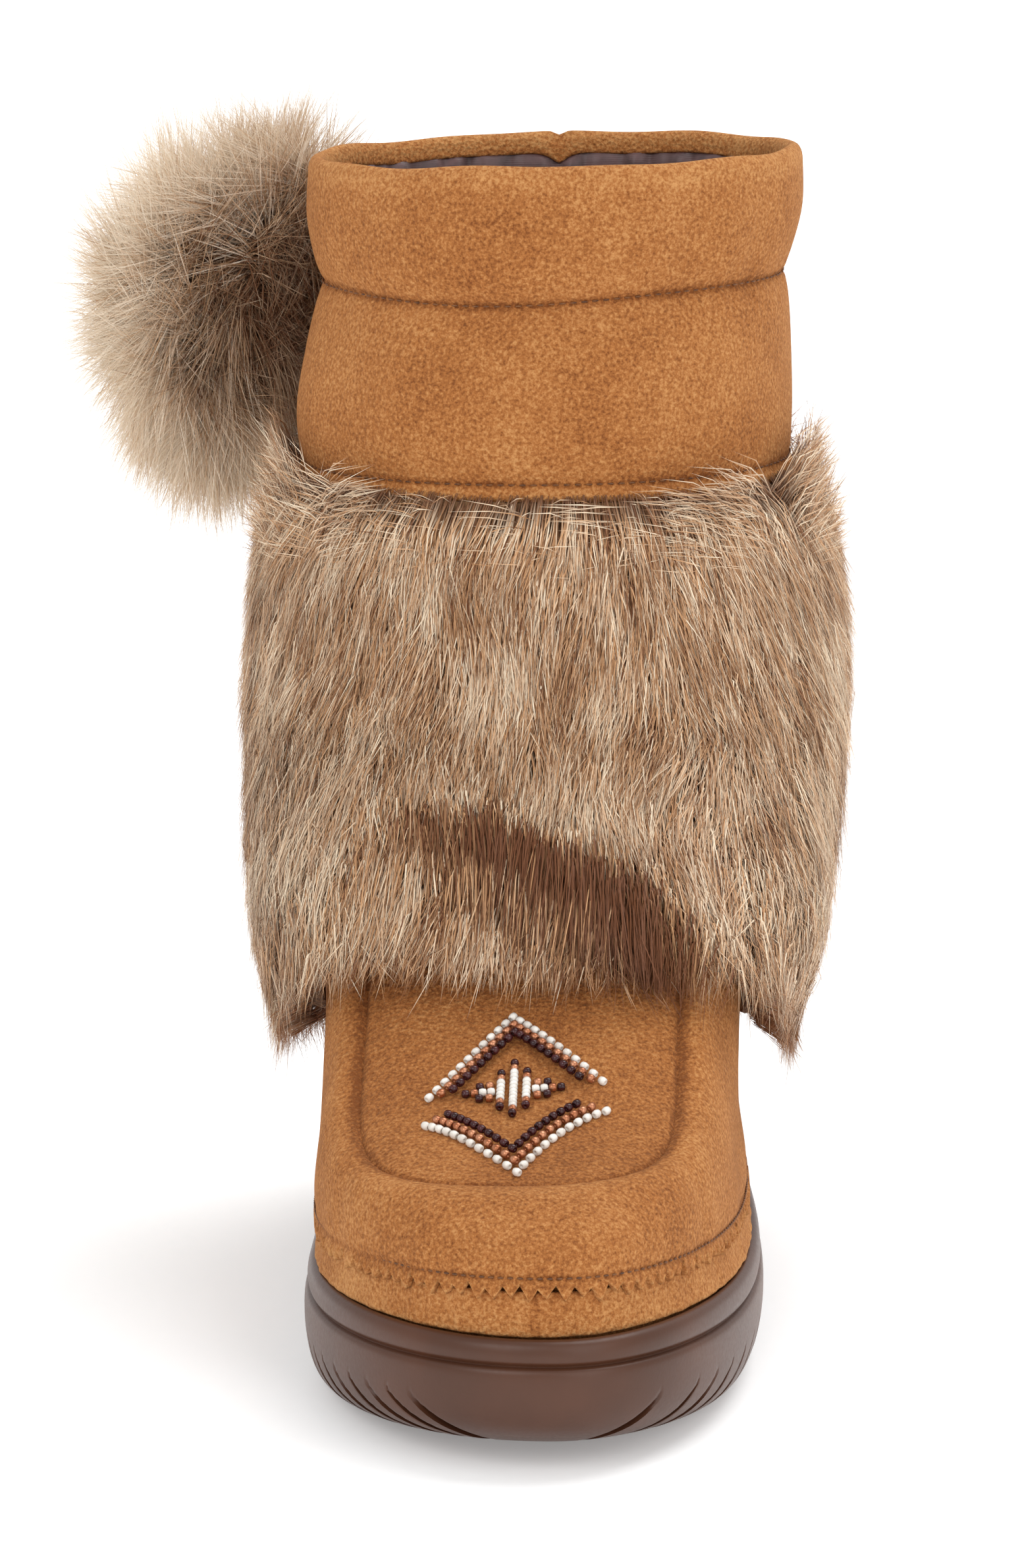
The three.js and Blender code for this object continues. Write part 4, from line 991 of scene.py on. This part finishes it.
def fur_crease(column, share):
    """How far a place is above the fold in millimetres, and how open the fold is there."""
    at = np.stack([column * 420, share * 115], -1)
    nodes = np.array(fur_fold) * (420, 115)
    best, above = np.full(len(at), 1e9), np.zeros(len(at))
    for a, b in zip(nodes[:-1], nodes[1:]):
        along = np.clip((at - a) @ (b - a) / ((b - a) @ (b - a)), 0, 1)
        gap = at - a - along[:, None] * (b - a)
        side = np.sign((b - a)[0] * gap[:, 1] - (b - a)[1] * gap[:, 0])
        far = np.linalg.norm(gap, axis=1)
        above, best = np.where(far < best, far * side, above), np.minimum(best, far)
    return above, ease(0.4, 0.49, column) * ease(0.61, 0.57, column)


def fur_out(column, share):
    depth = np.interp(share, [row[0] for row in fur_profile], [row[1] for row in fur_profile])
    slump = 1 - 0.34 * hump(column, 0.5, 0.13) * (1 - np.clip(share, 0, 1))
    above, opened = fur_crease(column, share)
    lap = 3.0 * hump(above, 9, 7) - 9.5 * hump(above, -1, 4.5) - 1.5 * hump(above, -12, 9)
    return FUR_DEPTH * depth * slump + opened * lap


# The backing and its dense undercoat, a soft sleeve that the long hair stands on.
def undercoat_shape(u, v):
    share = np.interp(v, [0, 0.06, 0.5, 0.56, 0.94, 1], [1.0, 1.02, 0.02, 0.0, 0.97, 1.0])
    outside = np.interp(v, [0, 0.02, 0.5, 0.53, 0.56, 0.6, 1], [0, 1, 1, 0.6, 0, 0, 0])
    inner = np.where(share < 0.35, 3.9, mix(3.9, -1.4, ease(0.35, 0.6, share)))
    lump = 0.8 * waves(u, (9, 17, 28), 41) * waves(share, (2, 5), 42)
    outer = np.maximum(fur_out(u, share) - 6.5 + lump, inner + 1.2)
    return on_fur(u, share, mix(inner, outer, outside))[0]


undercoat = grid_piece("fur_cuff_undercoat", 180, 80, undercoat_shape)
edit_all(bpy.ops.mesh.normals_make_consistent, inside=False)


def hair_piece(name, spines, widths, facing, shades):
    """Hairs as one mesh of tapered ribbons. Each has a root, a place on the way, and a tip."""
    n = len(spines)
    ways = spines[:, 1:] - spines[:, :-1]
    side = np.cross(ways, facing[:, None])
    side /= np.maximum(np.linalg.norm(side, axis=2), 1e-9)[..., None]
    half = side * (widths / 2)[..., None]
    pairs = np.stack([spines[:, :2] - half, spines[:, :2] + half], 2).reshape(n, 4, 3)
    points = np.concatenate([pairs, spines[:, 2:]], 1)
    piece = joined(name, points, np.array([0, 1, 3, 2, 2, 3, 4]), np.array([0, 4]))
    strand = np.ones((n, 5, 4), np.float32)
    strand[:, :, 0] = shades[0][:, None]
    strand[:, :, 1] = np.array([0, 0, 0.45, 0.45, 1.0])[None]
    strand[:, :, 2] = shades[1][:, None]
    layer = piece.data.color_attributes.new("strand", "FLOAT_COLOR", "POINT")
    layer.data.foreach_set("color", strand.ravel())
    return piece


def fur_finish(name, root, dark, body, light, tip):
    """Modacrylic faux fur, each hair dyed along its length: a dull root, a body between taupe and
    beige, and a browned tip. How far the tip is browned comes from each hair's third shade, which
    also carries painted shade for hairs in the cuff's fold. The fibres are smooth, so they have a
    soft shine."""
    made, tree, shader, _ = new_material(name, 0.5)
    strand = add(tree, "ShaderNodeAttribute", attribute_name="strand").outputs["Color"]
    parts = add(tree, "ShaderNodeSeparateColor", {"Color": strand})
    tone, along, dip = (parts.outputs[k] for k in ("Red", "Green", "Blue"))
    body_colour = ramp(tree, tone, [(0.08, dark), (0.5, body), (0.92, light)])
    grown = add(tree, "ShaderNodeMapRange", {"Value": along, "From Min": 0.05, "From Max": 0.45})
    shaft = {0: grown.outputs["Result"], 6: colour(root), 7: body_colour}
    shaft = add(tree, "ShaderNodeMix", shaft, data_type="RGBA").outputs[2]
    ending = add(tree, "ShaderNodeMapRange", {"Value": along, "From Min": 0.7, "From Max": 1.0})
    # How much of the tip is browned: dyed tips, and painted shade for hairs in the cuff's fold.
    tip_dye_and_shade = add(tree, "ShaderNodeMath", {0: ending.outputs["Result"], 1: dip}, operation="MULTIPLY")
    whole = {0: tip_dye_and_shade.outputs[0], 6: shaft, 7: colour(tip)}
    whole = add(tree, "ShaderNodeMix", whole, data_type="RGBA").outputs[2]
    feed(tree, shader, {"Base Color": whole, "Specular IOR Level": 0.25, "Sheen Weight": 0.05})
    return made


cuff_fur = fur_finish("cuff_pile", "#70492F", "#704326", "#CB9B6E", "#F2DFC3", "#683D25")
under, tree, shader, at = new_material("undercoat_pile", 0.95)
streak = add(tree, "ShaderNodeMapping", {"Vector": at, "Scale": (1, 1, 0.18)}).outputs["Vector"]
down = add(tree, "ShaderNodeTexNoise", {"Vector": streak, "Scale": 520, "Detail": 4}).outputs["Fac"]
base = ramp(tree, down, [(0.3, "#4A2E1C"), (0.7, "#8E6844")])
bump = add(tree, "ShaderNodeBump", {"Height": down, "Strength": 0.9, "Distance": 0.002})
feed(tree, shader, {"Base Color": base, "Normal": bump.outputs["Normal"]})
finish(undercoat, under, "fur_cuff")


def combed(column, share, pick):
    """Spines of hairs rooted there, combed down in locks, with their facing and shades."""
    n = len(column)
    tall = FUR_TOP - np.interp(column, columns, fur_hem_z)
    length = pick.uniform(14, 25, n) * (0.8 + 0.5 * pick.random(n) ** 2)
    hem_share = -0.075 + pick.normal(0, 0.028, n)
    drop = np.minimum(length / tall, np.maximum(share - hem_share, 0.06))
    # Locks: hairs of one cell lean together at their tips.
    cell_row = np.floor(share * 15 + pick.uniform(-0.35, 0.35, n)).astype(int)
    cell = column * LOCK_COLUMNS + 0.5 * (cell_row % 2) + pick.uniform(-0.3, 0.3, n)
    cell = np.floor(cell).astype(int)
    key = np.mod(cell, LOCK_COLUMNS) * LOCK_ROWS + np.mod(cell_row, LOCK_ROWS)
    lot, locks = np.random.default_rng(77), LOCK_COLUMNS * LOCK_ROWS
    lock_shift, lock_tone = lot.normal(0, 0.0045, locks)[key], lot.normal(0, 0.09, locks)[key]
    lock_lift = lot.uniform(-1.2, 2.4, locks)[key]
    target = (cell + 0.5 - 0.5 * (cell_row % 2)) / LOCK_COLUMNS + lock_shift
    sway = 0.004 * waves(column + 0.13 * share, (3, 7, 12), 51) + 0.002 * waves(share, (2, 3), 52)
    tip_column = mix(column, target, 0.45) + sway + pick.normal(0, 0.0034, n)
    body = fur_out(column, share)
    spines, facing = [], np.zeros((n, 3))
    for f, under_by in ((0.0, -8.0), (0.45, -0.4), (1.0, 0.0)):
        at_share, at_column = share - drop * f, mix(column, tip_column, f**1.4)
        out = mix(body, fur_out(at_column, at_share), f) + under_by
        out = out + f * (0.8 * lock_lift + pick.normal(0, 1.4, n))
        lowest = mix(4.2, 1.1, ease(0.94, 1, at_share)) + 0.6 * f
        place, normal = on_fur(at_column, at_share, np.maximum(out, lowest))
        spines.append(place)
        facing += normal / 3
    streak = 0.11 * waves(column + 0.02 * np.sin(share * 9), (31, 53, 84), 53)
    cloud = 0.09 * waves(column, (5, 9, 14), 54) * waves(share, (1.3, 2.7), 55)
    tone = 0.55 + lock_tone + streak + cloud + pick.normal(0, 0.24, n)
    # Hairs that end in the fold over the instep are painted darker, with more of their tips browned,
    # a painted shade for the fold; those on the lap above it are a little paler, a painted highlight.
    above, opened = fur_crease(tip_column, share - 0.75 * drop)
    shaded = opened * (hump(above, -2, 4.5) + 0.2 * hump(above, -10, 8))
    tone = tone - 0.95 * shaded + 0.1 * opened * hump(above, 13, 8)
    tone = tone + 0.1 * ease(0.07, 0.2, np.abs(column - 0.5))
    tone = tone + 0.08 * hump(share - drop, 0.12, 0.1)
    dip = pick.normal(0.42, 0.35, n) + 0.5 * shaded
    return np.stack(spines, 1), facing, (np.clip(tone, 0, 1), np.clip(dip, 0, 1))


for word, side_columns, seed in (("outer", (0.0, 0.5), 61), ("inner", (0.5, 1.0), 62)):
    pick = np.random.default_rng(seed)
    count = HAIRS_A_SIDE
    rooted = pick.uniform(*side_columns, count), pick.uniform(-0.02, 1.035, count)
    spines, facing, shades = combed(*rooted, pick)
    widths = pick.uniform(0.2, 0.36, count)[:, None] * np.array([0.9, 1.0])[None]
    facing = facing + pick.normal(0, 0.22, facing.shape)
    hair = hair_piece(f"fur_cuff_hair_{word}", spines, widths, facing, shades)
    finish(hair, cuff_fur, "fur_cuff")

# The fringe: hair that springs up and out over the collar's hem, thickest at the two sides.
pick = np.random.default_rng(63)
column = pick.uniform(0, 1, FRINGE_DRAWS)
beside = ease(0.05, 0.19, np.abs(column - 0.5))
kept = pick.random(FRINGE_DRAWS) < 0.07 + 0.93 * beside
column, beside = column[kept], beside[kept]
count = len(column)
# Hairs of one tuft sweep to one side together.
tuft = np.floor(column * 70 + pick.uniform(-0.6, 0.6, count)).astype(int)
swerve = pick.normal(0, 0.026, 73)[tuft] + pick.normal(0, 0.008, count)
share = pick.uniform(0.83, 1.02, count)
rise = pick.uniform(4, 17, count) * (0.3 + 0.7 * beside) * pick.uniform(0.6, 1.1, 73)[tuft]
reach, droop = pick.uniform(0, 8, count), pick.uniform(0.7, 1.15, count)
spines = []
for f, lifted in ((0.0, 0.0), (0.5, 0.62), (1.0, droop)):
    out = np.maximum(fur_out(column, share) - 4 + reach * f**1.3, 5 + 3 * f)
    place, normal = on_fur(column + swerve * f, share + rise * lifted / 110, out)
    spines.append(place)
widths = pick.uniform(0.18, 0.32, count)[:, None] * np.array([0.9, 0.95])[None]
shades = [np.clip(pick.normal(middle, 0.24, count), 0, 1) for middle in (0.7, 0.3)]
facing = normal + pick.normal(0, 0.3, normal.shape)
fringe = hair_piece("fur_cuff_fringe", np.stack(spines, 1), widths, facing, shades)
finish(fringe, cuff_fur, "fur_cuff")

# ---------------------------------------------------------------------------------------------
# Pompom: a disc of the same faux fur gathered into a ball round a wad of filling, and sewn to
# the collar's outer side. Its tips are pale, and its heart is dark; its hairs are also painted
# darker where they point at the camera and paler round its edge, a painted shade and a painted light.
POM, HEART, FULL = (np.array(p) for p in ((-84.0, 12.0, 229.0), (19, 19, 29.0), (41.0, 39.0, 54.0)))
POM_DRAWS, POM_TUFTS, COLLAR_SIDE, COLLAR_FRONT = 36000, 170, 62.5, 61.5
bpy.ops.object.select_all(action="DESELECT")
bpy.ops.mesh.primitive_ico_sphere_add(subdivisions=5, radius=1)
pompom = bpy.context.object
pompom.name = pompom.data.name = "pompom_heart"


def pom_lean(direction, grown):
    """The ball stands a little towards the collar at its top, and its foot is narrower."""
    high = direction[:, 2]
    slim = 1 - 0.16 * np.clip(-high, 0, 1) ** 1.5
    at = direction * grown * np.stack([slim, slim, np.ones(len(high))], -1)
    at[:, 0] += 13 * np.clip(high, 0, 1) ** 2 - 3 * np.clip(-high, 0, 1) ** 2
    return POM + at


ball = np.array([v.co for v in pompom.data.vertices])
lumps = 0.6 * waves(np.arctan2(ball[:, 1], ball[:, 0]) / 6.283, (5, 9), 71)
heart = pom_lean(ball, HEART + lumps[:, None])
pompom.data.vertices.foreach_set("co", (heart * 0.001).ravel())
bpy.ops.object.shade_smooth()
finish(pompom, under, "pompom")

pick = np.random.default_rng(72)
direction = unit(pick.normal(0, 1, (POM_DRAWS, 3)))
direction = direction[direction @ np.array([0.88, -0.4, 0.1]) < 0.9]
count = len(direction)
# Tufts: the ball's hairs fall together, each tuft with its own lean, length and shade.
tufts = unit(pick.normal(0, 1, (POM_TUFTS, 3)))
nearest = np.argmax(direction @ tufts.T + pick.normal(0, 0.01, (count, 1)), axis=1)
tuft_tone = pick.normal(0, 0.12, POM_TUFTS)[nearest]
tuft_long = pick.uniform(0.9, 1.06, POM_TUFTS)[nearest]
tuft_lean = pick.normal(0, 0.28, (POM_TUFTS, 3))[nearest]
toward = direction + 0.4 * (tufts[nearest] - direction) + tuft_lean
toward = unit(toward + pick.normal(0, 0.17, (count, 3)))
long = tuft_long * pick.uniform(0.8, 1.09, count)
lie = pick.uniform(1.0, 1.16, count)
spines = []
for f, share in ((0.0, 0.45), (0.45, 0.78), (1.0, 1.0)):
    way = unit(mix(direction, toward, f**1.2))
    bulge = 1 + 0.17 * np.clip(2 * np.abs(way[:, 0]) * way[:, 2], 0, 1)
    place = pom_lean(way, FULL * (bulge * mix(0.5, share * long, f))[:, None])
    place[:, 2] -= f**2 * (2.5 + 2.0 * (1 - np.abs(way[:, 2])))
    # Hair that would pass through the collar is swept back to its face.
    x, y = place[:, 0], place[:, 1] + SHAFT_BACK
    into = np.hypot(x / COLLAR_SIDE, y / COLLAR_FRONT)
    push = np.where((into < lie) & (place[:, 2] < TOP + 2), lie / np.maximum(into, 0.2), 1)
    place[:, 0], place[:, 1] = x * push, y * push - SHAFT_BACK
    spines.append(place)
# Tone: paler for hairs that point left, up or down, round the ball's edge as the camera sees it, a
# painted light; darker for those that point at the camera, partly its dark heart and partly a painted
# shade in the hollows between tufts.
tone = 0.74 + tuft_tone + 0.25 * np.clip(-toward[:, 0], 0, 1) + pick.normal(0, 0.25, count)
tone = tone + 0.15 * np.abs(toward[:, 2])
tone = tone - 0.85 * np.clip(toward @ np.array([0.48, -0.86, 0.12]), 0, 1) ** 3
shades = (np.clip(tone, 0, 1), np.clip(pick.normal(0.5, 0.3, count), 0, 1))
widths = pick.uniform(0.2, 0.36, count)[:, None] * np.array([0.9, 1.0])[None]
facing = np.cross(toward, pick.normal(0, 1, (count, 3)))
pom_hair = hair_piece("pompom_hair", np.stack(spines, 1), widths, facing, shades)
pom_fur = fur_finish("pompom_pile", "#5C3E28", "#744C30", "#CBA680", "#F6E9D6", "#DCC4A6")
finish(pom_hair, pom_fur, "pompom")

# ---------------------------------------------------------------------------------------------
# The studio: a long lens in front and a little above, white paper, and broad soft light from
# above and behind the right shoulder, with a fill from the front.
scene = bpy.context.scene
scene.view_settings.view_transform = "Standard"
bpy.ops.object.camera_add(location=(0.043956, -1.436416, 0.375418))
camera = bpy.context.object
camera.rotation_euler = (math.radians(79.5), 0, math.radians(2.2))
photo_tall, focal_pixels, sensor = 2380, 8749, 36
camera.data.lens = focal_pixels * sensor / photo_tall
camera.data.clip_end = 60
scene.camera = camera

bpy.ops.mesh.primitive_plane_add(size=40)
floor = bpy.context.object
floor.name = "studio_floor"
paper, tree, shader, at = new_material("white_paper", 0.9)
fibre = add(tree, "ShaderNodeTexNoise", {"Vector": at, "Scale": 300}).outputs["Fac"]
base = ramp(tree, fibre, [(0.3, "#F6F6F6"), (0.7, "#FAFAFA")])
feed(tree, shader, {"Base Color": base, "Specular IOR Level": 0.1})
feed(tree, shader, {"Emission Color": (1, 1, 1, 1), "Emission Strength": 0.23})
floor.data.materials.append(paper)

world = bpy.data.worlds.new("studio")
scene.world = world
world.use_nodes = True
sky = world.node_tree.nodes["Background"]
feed(world.node_tree, sky, {"Color": (1, 1, 1, 1), "Strength": 0.68})
for name, toward_light, strength, soft in (
    ("back_right_bank", (0.4, 0.4, 1.2), 1.35, 40),
    ("front_left_bank", (-0.6, -1.0, 0.9), 0.7, 35),
    ("front_right_bank", (0.8, -0.9, 0.6), 0.7, 50),
):
    bpy.ops.object.light_add(type="SUN", location=toward_light)
    lamp = bpy.context.object
    lamp.name = name
    lamp.data.energy = strength
    lamp.data.angle = math.radians(soft)
    lamp.rotation_euler = Vector(toward_light).to_track_quat("Z", "Y").to_euler()
